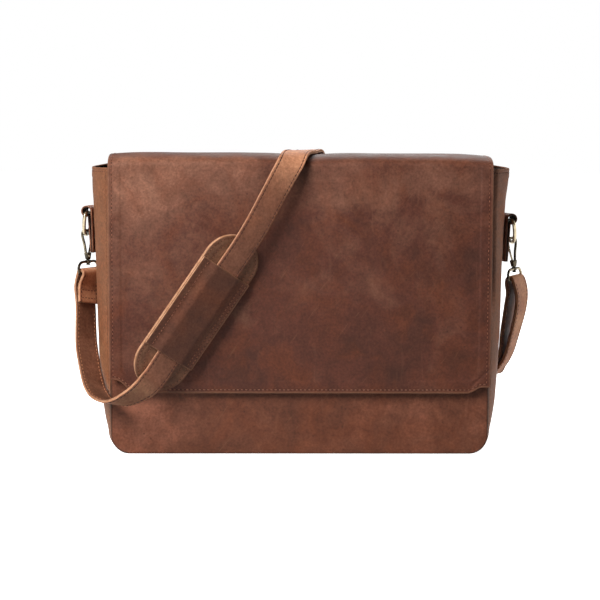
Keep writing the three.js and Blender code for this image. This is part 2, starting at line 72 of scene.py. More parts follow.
def addNode(tree, kind, settings=None, links=None):
    node = tree.nodes.new(kind)
    for key, value in (settings or {}).items():
        if isinstance(key, int) or key in node.inputs:
            node.inputs[key].default_value = value
        else:
            setattr(node, key, value)
    for key, source in (links or {}).items():
        tree.links.new(source, node.inputs[key])
    return node


def unit(vectors):
    return vectors / np.linalg.norm(vectors, axis=-1, keepdims=True)


def ease(low, high, values):  # smooth step from 0 to 1
    t = np.clip((values - low) / (high - low), 0, 1)
    return t * t * (3 - 2 * t)


def ripple(points, size, seed):  # smooth noise from -1 to 1 with waves of that size in mm
    shift = Vector((seed * 7.3, seed * 3.1, seed * 5.7))
    flat = [noise.noise(Vector(p) / size + shift) for p in points.reshape(-1, 3)]
    return np.array(flat).reshape(points.shape[:-1])


def waves(points, rows, seed):  # ripples added up, each row a height and a size in mm
    return sum(height * ripple(points, size, seed + k) for k, (height, size) in enumerate(rows))


def bell(distance, width):  # 1 at no distance, fading out over that width
    return np.exp(-(distance / width) ** 2)


def patchTone(x, z, patches):  # pale and dark patches: rows of x, z, size in mm and tone
    return sum(tone * bell(np.hypot(x - px, z - pz), size) for px, pz, size, tone in patches)


def fullTurn(count):  # angles all round
    return np.radians(np.arange(count) * 360 / count)


def newMaterial(name):
    material = bpy.data.materials.new(name)
    material.use_nodes = True
    tree = material.node_tree
    return material, tree, tree.nodes["Principled BSDF"]


# Colour layers over a ground colour: blend type, share and colour, each a number, hex code or socket
def layerColours(tree, ground, layers):
    colour = linearColour(ground)
    for blend, share, over in layers:
        settings = {"data_type": "RGBA", "blend_type": blend}
        links = {}
        over = linearColour(over) if isinstance(over, str) else over
        for key, value in ((0, share), (6, colour), (7, over)):
            (links if isinstance(value, bpy.types.NodeSocket) else settings)[key] = value
        colour = addNode(tree, "ShaderNodeMix", settings, links).outputs[2]
    return colour


# Oiled full-grain cowhide, waxed and buffed by hand. The oil moves when the hide bends, so the eye sees
# cloudy dark and pale areas, a rust tone between them, fine pores, some pale scuffs and dark specks.
def oiledLeather(name, look):
    material, tree, shader = newMaterial(name)
    place = addNode(tree, "ShaderNodeTexCoord").outputs["Object"]
    tone = addNode(tree, "ShaderNodeAttribute", {"attribute_name": "tone"}).outputs["Fac"]
    wear = addNode(tree, "ShaderNodeAttribute", {"attribute_name": "wear"}).outputs["Fac"]
    noises = {}
    for key, detail, bend in (("cloud", 5.0, 0.6), ("rust", 4.0, 0.8),
                              ("mottle", 6.0, 0.9), ("pore", 2.0, 0.0)):
        settings = {"Scale": perMetre(look[key + "Size"]), "Detail": detail,
                    "Roughness": 0.62, "Distortion": bend}
        noises[key] = addNode(tree, "ShaderNodeTexNoise", settings, {"Vector": place}).outputs["Fac"]
    swing = {"operation": "MULTIPLY_ADD", 1: look["contrast"], 2: 0.5 - look["contrast"] / 2}
    level = addNode(tree, "ShaderNodeMath", swing, {0: noises["cloud"]}).outputs[0]
    level = addNode(tree, "ShaderNodeMath", {"operation": "ADD"}, {0: level, 1: tone}).outputs[0]
    for key, longer, lean in (("scuff", 6, 0.0), ("scratch", 16, 0.65)):  # long marks, upright and leaning
        settings = {"vector_type": "TEXTURE", "Scale": (1, 1, longer), "Rotation": (0, lean, 0)}
        stretch = addNode(tree, "ShaderNodeMapping", settings, {"Vector": place}).outputs[0]
        settings = {"Scale": perMetre(look[key + "Size"]), "Detail": 2.0, "Distortion": 1.4}
        noises[key] = addNode(tree, "ShaderNodeTexNoise", settings, {"Vector": stretch}).outputs["Fac"]
    settings = {"Scale": perMetre(look["speckSpacing"])}
    dots = addNode(tree, "ShaderNodeTexVoronoi", settings, {"Vector": place}).outputs["Distance"]
    shares = {}
    for key, value, low, high, top in (  # share of each layer rises from low to high
            ("dark", level, 0.5, 0.05, 1.0),
            ("pale", level, 0.5, 0.95, 1.0),
            ("rust", noises["rust"], 0.46, 0.72, 0.75),
            ("speck", dots, 0.075, 0.01, look["specks"]),
            ("scuff", noises["scuff"], 0.64, 0.72, look["scuffs"]),
            ("scratch", noises["scratch"], 0.68, 0.74, look["scratches"]),
            ("worn", wear, 0.0, 1.0, 0.8)):
        settings = {"From Min": low, "From Max": high, "To Max": top}
        shares[key] = addNode(tree, "ShaderNodeMapRange", settings, {"Value": value}).outputs[0]
    colour = layerColours(tree, look["ground"], [
        ("MIX", shares["dark"], look["dark"]), ("MIX", shares["pale"], look["pale"]),
        ("MIX", shares["rust"], look["rust"]), ("OVERLAY", look["mottling"], noises["mottle"]),
        ("OVERLAY", look["graining"], noises["pore"]), ("MIX", shares["speck"], look["dark"]),
        ("MIX", shares["scuff"], look["pale"]), ("MIX", shares["scratch"], look["worn"]),
        ("MIX", shares["worn"], look["worn"])])
    tree.links.new(colour, shader.inputs["Base Color"])
    settings = {"From Min": 0.3, "From Max": 0.7,
                "To Min": look["rough"] - 0.07, "To Max": look["rough"] + 0.07}
    rough = addNode(tree, "ShaderNodeMapRange", settings, {"Value": noises["mottle"]})
    tree.links.new(rough.outputs[0], shader.inputs["Roughness"])
    settings = {"feature": "SMOOTH_F1", "Scale": perMetre(look["pebbleSize"])}
    pebble = addNode(tree, "ShaderNodeTexVoronoi", settings, {"Vector": place}).outputs["Distance"]
    settings = {"operation": "MULTIPLY_ADD", 1: 0.6}
    height = addNode(tree, "ShaderNodeMath", settings, {0: noises["pore"], 2: pebble})
    settings = {"Strength": look["relief"], "Distance": 0.5 * mm}
    bump = addNode(tree, "ShaderNodeBump", settings, {"Height": height.outputs[0]})
    tree.links.new(bump.outputs[0], shader.inputs["Normal"])
    shader.inputs["Specular IOR Level"].default_value = look["shine"]
    return material


# Plain fibrous surface: cut edges, the flesh side and thread differ in colour, fibre size and roughness
def fibreSurface(name, look):
    material, tree, shader = newMaterial(name)
    place = addNode(tree, "ShaderNodeTexCoord").outputs["Object"]
    noises = {}
    for key in ("blotch", "fibre"):
        settings = {"Scale": perMetre(look[key]), "Detail": 3.0}
        noises[key] = addNode(tree, "ShaderNodeTexNoise", settings, {"Vector": place}).outputs["Fac"]
    settings = {"From Min": 0.38, "From Max": 0.66}
    share = addNode(tree, "ShaderNodeMapRange", settings, {"Value": noises["blotch"]}).outputs[0]
    layers = [("MIX", share, look["dark"]), ("OVERLAY", 0.5, noises["fibre"])]
    colour = layerColours(tree, look["ground"], layers)
    tree.links.new(colour, shader.inputs["Base Color"])
    bump = addNode(tree, "ShaderNodeBump", {"Strength": 0.35, "Distance": 0.3 * mm},
                   {"Height": noises["fibre"]})
    tree.links.new(bump.outputs[0], shader.inputs["Normal"])
    shader.inputs["Roughness"].default_value = look["rough"]
    shader.inputs["Specular IOR Level"].default_value = 0.25
    return material


# Die-cast zinc plated in brass, darkened and tumbled: brown-black in the hollows, pale brass on the crowns
def antiqueBrass(name, look):
    material, tree, shader = newMaterial(name)
    place = addNode(tree, "ShaderNodeTexCoord").outputs["Object"]
    wear = addNode(tree, "ShaderNodeAttribute", {"attribute_name": "wear"}).outputs["Fac"]
    settings = {"Scale": perMetre(look["blotch"]), "Detail": 4.0}
    blot = addNode(tree, "ShaderNodeTexNoise", settings, {"Vector": place}).outputs["Fac"]
    uneven = addNode(tree, "ShaderNodeMath", {"operation": "MULTIPLY_ADD", 1: 0.9, 2: -0.45}, {0: blot})
    settings = {"operation": "ADD", "use_clamp": True}
    level = addNode(tree, "ShaderNodeMath", settings, {0: uneven.outputs[0], 1: wear}).outputs[0]
    colour = layerColours(tree, look["patina"], [("MIX", level, look["brass"])])
    tree.links.new(colour, shader.inputs["Base Color"])
    settings = {"To Min": look["rough"] + 0.12, "To Max": look["rough"]}
    rough = addNode(tree, "ShaderNodeMapRange", settings, {"Value": level})
    tree.links.new(rough.outputs[0], shader.inputs["Roughness"])
    shader.inputs["Metallic"].default_value = 1.0
    return material


# Pores of the real hide are about 0.3 mm; they are drawn near 2.5 mm so that they show in a picture
leatherLook = {
    "ground": "#583125", "dark": "#3b231b", "pale": "#92634e", "rust": "#663622", "worn": "#96684d",
    "cloudSize": 75, "rustSize": 44, "mottleSize": 17, "poreSize": 2.5, "pebbleSize": 2.0,
    "scuffSize": 9, "scratchSize": 2.6, "speckSpacing": 16,
    "contrast": 0.9, "mottling": 0.62, "graining": 0.55, "specks": 0.8, "scuffs": 0.1, "scratches": 0.18,
    "rough": 0.6, "relief": 0.3, "shine": 0.17,
}
# the flap's pale also paints light on its upper edge and left side
flapLeather = oiledLeather("oiled leather, flap", leatherLook)
# the body's pale also paints light on the lower left of the front panel
bodyLeather = oiledLeather("oiled leather, body", {
    **leatherLook, "ground": "#6a3e2c", "pale": "#a86951", "rust": "#743f29"})
# the gusset's near-black dark also carries the painted shade at its seams and in the fold behind the flap,
# and its pale the painted light on the left
gussetLeather = oiledLeather("oiled leather, gusset", {
    **leatherLook, "ground": "#7d5139", "dark": "#2c1810", "pale": "#936548", "rust": "#844f34",
    "mottling": 0.5, "contrast": 0.3, "specks": 0.4, "shine": 0.1})
# the strap's pale also paints light beside the bag and over the top
strapLeather = oiledLeather("oiled leather, strap", {
    **leatherLook, "ground": "#97624a", "dark": "#7c4f3a", "pale": "#d3946f", "rust": "#9d6144",
    "contrast": 0.7})
strapBack = oiledLeather("oiled leather, strap back", {
    **leatherLook, "ground": "#684231", "dark": "#563527", "pale": "#7a503c", "rust": "#6c402e",
    "contrast": 0.7})
padLeather = oiledLeather("oiled leather, pad", {
    **leatherLook, "ground": "#653d2d", "dark": "#4b2e23", "pale": "#7f563f", "rust": "#6f3e29",
    "cloudSize": 34, "scuffs": 0.3})
cutEdge = fibreSurface("cut leather edge", {  # raw core of the hide: pale and fuzzy
    "ground": "#c39270", "dark": "#a37250", "blotch": 7, "fibre": 1.2, "rough": 0.85})
dyedEdge = fibreSurface("dyed leather edge", {  # stained after cutting: mid brown and dull
    "ground": "#86583f", "dark": "#66412f", "blotch": 9, "fibre": 1.2, "rough": 0.8})
fleshSide = fibreSurface("leather flesh side", {  # unfinished inner side: a dark matt nap
    "ground": "#4a342b", "dark": "#38271f", "blotch": 12, "fibre": 1.5, "rough": 0.95})
seamEdge = fibreSurface("burnished edge and painted seam shade", {  # stained, waxed and rubbed: dark and smoother, and darker still as painted shade of the seam groove
    "ground": "#5a3827", "dark": "#44291d", "blotch": 9, "fibre": 1.2, "rough": 0.7})
# Twisted and waxed thread: fine streaks and a soft sheen, in the shades that each row has
threadLook = {"ground": "#9c6248", "dark": "#7c4531", "blotch": 6, "fibre": 0.6, "rough": 0.6}
thread = fibreSurface("waxed thread", threadLook)
hemThread = fibreSurface("waxed light thread", {**threadLook, "ground": "#96654d", "dark": "#7d503c"})
strapThread = fibreSurface("waxed tan thread", {**threadLook, "ground": "#b87c57", "dark": "#9c6445"})
darkThread = fibreSurface("waxed dark thread", {**threadLook, "ground": "#7a4834", "dark": "#653a29"})
redThread = fibreSurface("waxed red-brown thread", {**threadLook, "ground": "#562e22", "dark": "#44241b"})
needleHole = fibreSurface("needle hole", {  # torn fibres, nearly black as painted shade inside the hole
    "ground": "#2b1811", "dark": "#20120c", "blotch": 5, "fibre": 1, "rough": 1})
brass = antiqueBrass("antique brass", {"patina": "#211c18", "brass": "#b6a88c", "blotch": 5, "rough": 0.3})
print("materials:", len(bpy.data.materials))


# Meshes from arrays in mm

def makePiece(name, points, faces, slots, materials, attributes=None, ridesOn="bag"):
    mesh = bpy.data.meshes.new(name)
    mesh.from_pydata((np.asarray(points) * mm).tolist(), [], faces)
    for material in materials:
        mesh.materials.append(material)
    mesh.polygons.foreach_set("material_index", np.asarray(slots, np.int32))
    for key, values in (attributes or {}).items():
        layer = mesh.attributes.new(key, "FLOAT", "POINT")
        layer.data.foreach_set("value", np.asarray(values, np.float32).ravel())
    form = bmesh.new()
    form.from_mesh(mesh)
    bmesh.ops.recalc_face_normals(form, faces=form.faces)
    if form.calc_volume(signed=True) < 0:
        bmesh.ops.reverse_faces(form, faces=form.faces)
    form.to_mesh(mesh)
    form.free()
    mesh.shade_smooth()
    piece = bpy.data.objects.new(name, mesh)
    bpy.context.scene.collection.objects.link(piece)
    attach(piece, ridesOn)
    return piece


def dress(node):  # stands in for the solid of that name
    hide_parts(node)


def gridFaces(rows, columns, start=0, wrap=False):
    index = np.arange(rows * columns).reshape(rows, columns) + start
    if wrap:
        index = np.hstack([index, index[:, :1]])
    corners = [index[:-1, :-1], index[:-1, 1:], index[1:, 1:], index[1:, :-1]]
    return np.stack(corners, axis=-1).reshape(-1, 4).tolist()


def tubeFaces(rows, size):  # rings joined to a tube with flat ends
    return gridFaces(rows, size, 0, True) + [list(range(size)), list(range((rows - 1) * size, rows * size))]


def hoopFaces(rows, size):  # rings joined to a closed hoop
    return [[k % (rows * size) for k in face] for face in gridFaces(rows + 1, size, 0, True)]


def runLength(path):  # distance along a path at each of its points
    return np.concatenate([[0], np.cumsum(np.linalg.norm(np.diff(path, axis=0), axis=1))])


def gridNormals(face):
    return unit(np.cross(np.gradient(face, axis=1), np.gradient(face, axis=0)))


# Closed sheet of leather on a grid of its outer face, with relief in mm and rounded cut edges
def sheetPiece(name, sheet, materials, attributes):
    face, normal, relief = sheet["face"], sheet["normal"], sheet["relief"]
    rows, columns = face.shape[:2]
    outer = face + normal * relief[..., None]
    inner = face - normal * sheet["thickness"]
    down, right = np.arange(rows), np.arange(columns)
    i = np.concatenate([0 * right, down[1:], 0 * right[1:] + rows - 1, down[-2:0:-1]])
    j = np.concatenate([right, 0 * down[1:] + columns - 1, right[-2::-1], 0 * down[1:-1]])
    top, low, up = outer[i, j], inner[i, j], normal[i, j]
    out = unit(np.cross(np.roll(top, -1, 0) - np.roll(top, 1, 0), up))
    radius = sheet["edge"]
    turns = [(math.sin(a), 1 - math.cos(a)) for a in np.radians([30, 60, 90])]
    rims = [top + radius * (s * out - c * up) for s, c in turns]
    rims += [low + radius * (s * out + c * up) for s, c in reversed(turns)]
    count, loop = rows * columns, len(i)
    rings = [i * columns + j] + [2 * count + k * loop + np.arange(loop) for k in range(len(rims))]
    rings += [count + i * columns + j]
    faces = gridFaces(rows, columns) + gridFaces(rows, columns, count)
    slots = [0] * (len(faces) // 2) + [2] * (len(faces) // 2)
    for k, (a, b) in enumerate(zip(rings[:-1], rings[1:])):
        faces += np.stack([a, b, np.roll(b, -1), np.roll(a, -1)], axis=-1).tolist()
        slots += [0 if k == 0 and not sheet.get("dark") else 1] * loop
    points = np.concatenate([outer.reshape(-1, 3), inner.reshape(-1, 3)] + rims)
    spread = {key: np.concatenate([value.ravel(), 0 * value.ravel()] + [value[i, j]] * len(rims))
              for key, value in attributes.items()}
    return makePiece(name, points, faces, slots, materials, spread)


def onSheet(sheet, u, v):  # points and normals on the sheet's outer face
    us, vs = sheet["us"], sheet["vs"]
    column = np.interp(u, us, np.arange(len(us)))
    row = np.interp(v, vs, np.arange(len(vs)))
    j = np.minimum(column.astype(int), len(us) - 2)
    i = np.minimum(row.astype(int), len(vs) - 2)
    a, b = (column - j)[:, None], (row - i)[:, None]
    found = []
    for grid in (sheet["face"] + sheet["normal"] * sheet["relief"][..., None], sheet["normal"]):
        found.append((1 - b) * ((1 - a) * grid[i, j] + a * grid[i, j + 1])
                     + b * ((1 - a) * grid[i + 1, j] + a * grid[i + 1, j + 1]))
    return found[0], unit(found[1])


# Positions along a sheet in mm, close together at the ends where hems and stitch rows are
endSteps = np.array([0, 0.6, 1.2, 1.9, 2.6, 3.3, 4, 5.5, 8, 10.4, 11.3, 12.2, 13.1, 15])


def fineSteps(length, coarse, start=True, end=True):
    near = endSteps[-1]
    middle = np.linspace(near * start, length - near * end, max(2, round(length / coarse)))
    parts = [endSteps[:-1]] * start + [middle] + [length - endSteps[-2::-1]] * end
    return np.concatenate(parts)


def joinSteps(steps, extra):  # both sets in order, none closer together than 0.25 mm
    both = np.union1d(steps, extra)
    return both[np.concatenate([[True], np.diff(both) > 0.25])]


# Stitches: each is a short bowed length of thread between two needle holes
# Rows of the bow are the place along it as a share of the length, then swell and rise as shares of the radius
stitchBow = ((-0.5, 0.4, -0.7), (-0.34, 0.9, 0.0), (0, 1, 0.3), (0.34, 0.9, 0.0), (0.5, 0.4, -0.7))
needle = {"at": 0.53, "tips": (0.05, -0.25), "rim": 0.03}  # share of the length, heights in mm


def stitchForm(look):
    length, radius, hole = look["length"], look["radius"], look["hole"]
    around, rim = fullTurn(6), fullTurn(10)  # sides of the thread and of a hole
    points = [(along * length, radius * swell * math.cos(a), radius * (rise + swell * math.sin(a)))
              for along, swell, rise in stitchBow for a in around]
    faces = tubeFaces(len(stitchBow), len(around))
    slots = [0] * len(faces)
    count = len(rim)
    for end in (-needle["at"], needle["at"]):  # each hole is a closed double cone
        start = len(points)
        points += [(end * length, 0, height) for height in needle["tips"]]
        points += [(end * length + hole * math.cos(a), hole * math.sin(a), needle["rim"]) for a in rim]
        faces += [[start + tip, start + 2 + k, start + 2 + (k + 1) % count]
                  for tip in (0, 1) for k in range(count)]
        slots += [1] * (2 * count)
    return np.array(points), faces, slots


def stitchPiece(name, rows, look, material):
    form, formFaces, formSlots = stitchForm(look)
    points, faces, slots = [], [], []
    for path, normals in rows:
        reach = runLength(path)
        count = max(1, round(reach[-1] / look["pitch"]))
        at = (np.arange(count) + 0.5) * reach[-1] / count
        before, middle, after = [np.stack([np.interp(at + d, reach, path[:, k]) for k in range(3)], 1)
                                 for d in (-0.5, 0, 0.5)]
        up = unit(np.stack([np.interp(at, reach, normals[:, k]) for k in range(3)], 1))
        ahead = unit(after - before)
        axes = np.stack([ahead, np.cross(up, ahead), up], axis=1)
        for centre, axis in zip(middle, axes):
            start = len(points)
            points += (centre + form @ axis).tolist()
            faces += [[start + k for k in face] for face in formFaces]
            slots += formSlots
    piece = makePiece(name, points, faces, slots, [material, needleHole])


# Ribbon of leather swept along frames of centre, side and inner direction
# Rows of its section are the place across, the depth and the material
def ribbonPiece(name, centre, side, inner, section, materials, attributes=None):
    across = np.array([[w, t] for w, t, _ in section])
    rings = centre[:, None] + across[None, :, :1] * side[:, None] + across[None, :, 1:] * inner[:, None]
    count, size = rings.shape[:2]
    faces = gridFaces(count, size, 0, True)
    slots = [slot for _, _, slot in section] * (count - 1)
    for start, middle in ((0, count * size), ((count - 1) * size, count * size + 1)):  # cut ends
        faces += [[middle, start + k, start + (k + 1) % size] for k in range(size)]
    slots += [1] * (2 * size)
    points = np.concatenate([rings.reshape(-1, 3), centre[[0, -1]]])
    spread = {key: np.append(np.repeat(values, size), values[[0, -1]])
              for key, values in (attributes or {}).items()}
    return makePiece(name, points, faces, slots, materials, spread)


# Section of a strap: two faces with stitch grooves and cut edges with a line between the layers
def strapSection(width, thickness, groove):
    half, deep = width / 2, thickness / 2
    spots = np.array([0.4, 1.7, groove["at"], 3.6, 7, half])
    side = np.concatenate([spots - half, (half - spots[:-1])[::-1]])
    sunk = groove["deep"] * bell(half - np.abs(side) - groove["at"], 0.7)
    edge = [(half - 0.08, 0.78 * -deep), (half, 0.55 * -deep), (half, -0.1), (half - 0.25, 0),
            (half, 0.1), (half, 0.55 * deep), (half - 0.08, 0.78 * deep)]
    rows = [(w, d - deep, 0) for w, d in zip(side, sunk)]
    rows += [(w, t, slot) for (w, t), slot in zip(edge, (0, 1, 1, 1, 1, 2, 2))]
    rows += [(w, deep - d, 2) for w, d in zip(side[::-1], sunk[::-1])]
    rows += [(-w, t, slot) for (w, t), slot in zip(edge[::-1], (2, 1, 1, 1, 1, 0, 0))]
    return rows


# Body: front and back panels and the gusset between them
body = {
    "halfWidth": 189, "depth": 90, "height": 286, "cornerRadius": 19, "wall": 2, "edge": 0.8,
    "cornerShare": 0.4,  # of the rows, for the lower corners
    "waves": [(0.55, 90), (0.2, 26)], "pressed": 0.45, "waxed": 0.9,  # pressed down and dark along the seam: edge stain with painted shade of the seam groove
    "panels": {
        # painted light: the pale patches low on the left brighten the lower left, and the two small ones thin
        # the strap loop's shadow
        "front_panel": {"side": -1, "crown": 2, "seed": 3, "patches": [
            (-140, 40, 55, 0.18), (-157, 31, 18, 0.08), (-138, 22, 18, 0.08), (-90, 20, 40, 0.06),
            (20, 30, 60, -0.06), (120, 35, 45, -0.04)]},
        "back_panel": {"side": 1, "crown": 0, "seed": 8, "patches": [
            (-60, 150, 90, 0.1), (110, 80, 70, -0.1)]},
    },
}
seamStitch = {"pitch": 4.1, "length": 2.6, "radius": 0.36, "hole": 0.48}


def panelFace(u, v, panel):
    edge, corner = body["edge"], body["cornerShare"]
    angle = np.clip(v / corner, 0, 1) * math.pi / 2
    radius = body["cornerRadius"] - edge
    half = body["halfWidth"] - edge - radius * (1 - np.sin(angle))
    rise = np.clip((v - corner) / (1 - corner), 0, 1)
    z = edge + radius * (1 - np.cos(angle)) + rise * (body["height"] - body["cornerRadius"] - edge)
    across = 2 * u - 1
    bow = panel["crown"] * np.cos(across * math.pi / 2) * np.sin(z / body["height"] * math.pi)
    return np.stack([-panel["side"] * across * half, panel["side"] * (body["depth"] / 2 + bow), z], axis=-1)


def makePanel(name, panel):
    width, radius, corner = 2 * body["halfWidth"], body["cornerRadius"], body["cornerShare"]
    us = fineSteps(width, 4.5) / width
    straight = body["height"] - radius
    upright = corner + (1 - corner) * fineSteps(straight, 4.5, start=False)[1:] / straight
    vs = np.concatenate([np.linspace(0, corner, 24), upright])
    face = panelFace(*np.meshgrid(us, vs), panel)
    x, z = face[..., 0], face[..., 2]
    fromSide = body["halfWidth"] - np.abs(x)
    inCorner = radius - np.hypot(np.maximum(radius - fromSide, 0), np.maximum(radius - z, 0))
    fromEdge = np.where((fromSide < radius) & (z < radius), inCorner, np.minimum(fromSide, z))
    relief = waves(face, body["waves"], panel["seed"]) * ease(0, 20, fromEdge) * 0.8
    relief -= body["pressed"] * (1 - ease(0, 6, fromEdge))
    # darker along the edge: edge stain with painted shade of the seam groove
    tone = patchTone(x, z, panel["patches"]) - body["waxed"] * (1 - ease(0.3, 1.8, fromEdge))
    sheet = {"face": face, "normal": gridNormals(face), "relief": relief, "thickness": body["wall"],
             "edge": body["edge"], "dark": True}  # the dark edge, stain with painted seam shade, comes right up to the face
    piece = sheetPiece(name, sheet, [bodyLeather, seamEdge, fleshSide], {"tone": tone})
    dress(name)


for name, panel in body["panels"].items():
    makePanel(name, panel)

gusset = {
    "rows": [  # height and bulge
        (21, 5.5), (26, 7), (46, 10.8), (83, 14), (119, 15.7), (185, 17.4), (248, 20), (270, 21),
        (286, 20.6)],
    "side": 0.34, "corner": 0.11, "base": 0.05,  # shares of the run
    "hem": 9, "hemRise": 0.5, "rimInset": 3.5, "seamInset": 6, "backRise": 4.5, "rightFlare": 2.2,
    "sewnIn": 1.0,  # its edges are sewn against the panels
    # the seam's darkening: edge stain with painted seam shade; it also sets the painted shade in the fold
    "waves": [(0.7, 60), (0.35, 20)], "waxed": 0.9,
    "fold": {  # on the right, behind the flap
        "at": 8.8, "deep": 3.4, "width": 2.2, "from": 130, "to": 175, "rise": 2.2},
}


def gussetBulge(z):  # smooth curve through the rows
    heights, bulges = np.array(gusset["rows"], float).T
    slopes = np.gradient(bulges, heights)
    k = np.clip(np.searchsorted(heights, z) - 1, 0, len(heights) - 2)
    span = heights[k + 1] - heights[k]
    t = np.clip((z - heights[k]) / span, 0, 1)
    return ((2 * t ** 3 - 3 * t ** 2 + 1) * bulges[k] + (t ** 3 - 2 * t ** 2 + t) * span * slopes[k]
            + (3 * t ** 2 - 2 * t ** 3) * bulges[k + 1] + (t ** 3 - t ** 2) * span * slopes[k + 1])


def foldPlace(z):  # mm from the gusset's front edge
    return gusset["fold"]["at"] - gusset["fold"]["rise"] * ease(190, 280, z)


def gussetFace(u, v):
    half = body["depth"] / 2 - body["wall"] + gusset["sewnIn"]
    y = (2 * u - 1) * (half - body["edge"])
    flip = np.where(v > 0.5, -1, 1)
    t = np.where(v > 0.5, 1 - v, v)
    radius, width = body["cornerRadius"], body["halfWidth"]
    drop = np.clip(t / gusset["side"], 0, 1)
    z = body["height"] - body["edge"] - drop * (body["height"] - body["edge"] - radius)
    bulge = gussetBulge(z)
    angle = np.clip((t - gusset["side"]) / gusset["corner"], 0, 1) * math.pi / 2
    run = np.clip((t - gusset["side"] - gusset["corner"]) / gusset["base"], 0, 1)
    x = -width + radius * (1 - np.cos(angle)) + run * (width - radius)
    z = z - radius * np.sin(angle) + gusset["backRise"] * u ** 3 * ease(225, 286, z)
    swell = np.abs(np.cos(angle)) ** 1.3
    flare = (flip < 0) * gusset["rightFlare"] * ease(250, 286, z)
    out = (bulge + flare) * swell * np.cos(y / half * math.pi / 2)
    fold = gusset["fold"]
    sunk = fold["deep"] * bell(y + half - gusset["sewnIn"] - foldPlace(z), fold["width"])
    out = out - (flip < 0) * sunk * ease(fold["from"], fold["to"], z)
    return np.stack([flip * (x - np.cos(angle) * out), y, np.maximum(z - np.sin(angle) * out, 0)], axis=-1)


def makeGusset():
    sideLength = body["height"] - body["cornerRadius"]
    side = gusset["side"] * fineSteps(sideLength, 5, end=False) / sideLength
    corner = gusset["side"] + gusset["corner"] * np.linspace(0, 1, 22)[1:]
    base = gusset["side"] + gusset["corner"] + gusset["base"] * np.linspace(0, 1, 18)[1:]
    half = np.concatenate([side, corner, base])
    vs = np.concatenate([half, 1 - half[-2::-1]])
    us = joinSteps(fineSteps(body["depth"], 3), np.arange(4.4, 14, 0.6)) / body["depth"]
    face = gussetFace(*np.meshgrid(us, vs))
    y, z = face[..., 1], face[..., 2]
    fromEdge = body["depth"] / 2 - body["wall"] - np.abs(y)
    fromRim = body["height"] - z
    upright = ease(20, 60, z)
    relief = waves(face, gusset["waves"], 5) * upright * ease(0, 12, fromEdge)
    relief += gusset["hemRise"] * (1 - ease(gusset["hem"] - 0.8, gusset["hem"] + 0.8, fromRim))
    relief -= 0.35 * bell(fromRim - gusset["rimInset"], 0.8)
    relief -= 0.3 * bell(fromEdge - gusset["seamInset"], 0.9) * upright
    wear = 0.35 * (1 - ease(0, 2.5, fromEdge)) + 0.3 * (1 - ease(0, 2, fromRim))
    onLeft = face[..., 0] < 0
    shadeInFold = ((face[..., 0] > 0) & (y < 0)) * ease(gusset["fold"]["from"], gusset["fold"]["to"], z)
    dark = 0.5 + shadeInFold * foldPlace(z)  # width of the darkening: dark wax along the seam, and painted shade of the flap filling the fold
    tone = 0.1 * ripple(face, 70, 9)
    # painted shade: darker along the seam and, on the right, in the fold behind the flap; the seam also has
    # dark wax
    tone -= (gusset["waxed"] - 0.58 * shadeInFold) * (1 - ease(dark, dark + 2.5, fromEdge))
    tone += (0.1 + 0.25 * (1 - ease(40, 150, z))) * onLeft  # painted light: paler on the left, more so low down
    sheet = {"face": face, "normal": gridNormals(face), "relief": relief, "thickness": body["wall"],
             "edge": body["edge"], "us": us, "vs": vs}
    piece = sheetPiece("gusset", sheet, [gussetLeather, dyedEdge, fleshSide], {"tone": tone, "wear": wear})
    dress("gusset")
    down = np.linspace(0.005, gusset["side"], 150)
    around = np.linspace(0.04, 0.96, 60)
    rimShare = gusset["rimInset"] / sideLength * gusset["side"]
    inset = gusset["seamInset"] / body["depth"]
    rows = []
    for way in (down, 1 - down):
        rows += [onSheet(sheet, 0 * down + at, way) for at in (inset, 1 - inset)]
    rows += [onSheet(sheet, around, 0 * around + at) for at in (rimShare, 1 - rimShare)]
    stitchPiece("gusset_stitching", rows, seamStitch, darkThread)


makeGusset()
print("body: panels and gusset")

# Flap: up the back, over the top and down the front, with a sewn hem and cut lower corners
flap = {
    "topHalf": 191.3, "hemHalf": 190, "thickness": 2.2, "edge": 0.7, "crown": 1.5,
    "seam": 245, "shoulder": 287, "top": 300.9, "hem": 62, "roundness": 2.6,  # heights and the top's form
    "frontTop": 49.7, "frontHem": 52.2, "leftDroop": 1.4, "rightDroop": 2.6,
    "backShare": 0.1, "topShare": 0.42, "hemWidth": 12, "hemRise": 0.42, "stitchInset": 3.1,
    "seamRows": (0.008, 0.025),  # shares of the run, on the back
    "leftCorner": {"start": 163, "end": 184, "lift": 13.3},
    "rightCorner": {"start": 167, "end": 182, "lift": 6},
    "pressed": {"x": 4, "size": 24, "deep": 1.8},  # by the strap
    "crease": {"from": (189.6, 87), "to": (171.6, 70), "deep": 0.6, "width": 1.4},  # hem at the right corner
    "waves": [(0.7, 85), (0.25, 30)],
    "patches": [  # pale upper edge and left side: painted light from above and from the left; darker patches on the right and low down
        (-160, 276, 42, 0.55), (-70, 284, 42, 0.26), (30, 282, 50, 0.16), (130, 262, 50, 0.26),
        (-120, 205, 55, -0.05), (-165, 150, 45, 0.08), (55, 232, 14, -0.14), (112, 250, 15, -0.2),
        (150, 258, 14, -0.16), (112, 198, 14, -0.22), (170, 199, 11, -0.2), (120, 127, 15, -0.24),
        (50, 114, 14, -0.22), (153, 96, 13, -0.28), (-60, 84, 20, -0.2), (90, 76, 22, -0.16),
    ],
}
sideStitch = {"pitch": 4.1, "length": 2.7, "radius": 0.36, "hole": 0.3}
hemStitch = {"pitch": 4.2, "length": 2.7, "radius": 0.45, "hole": 0.4}


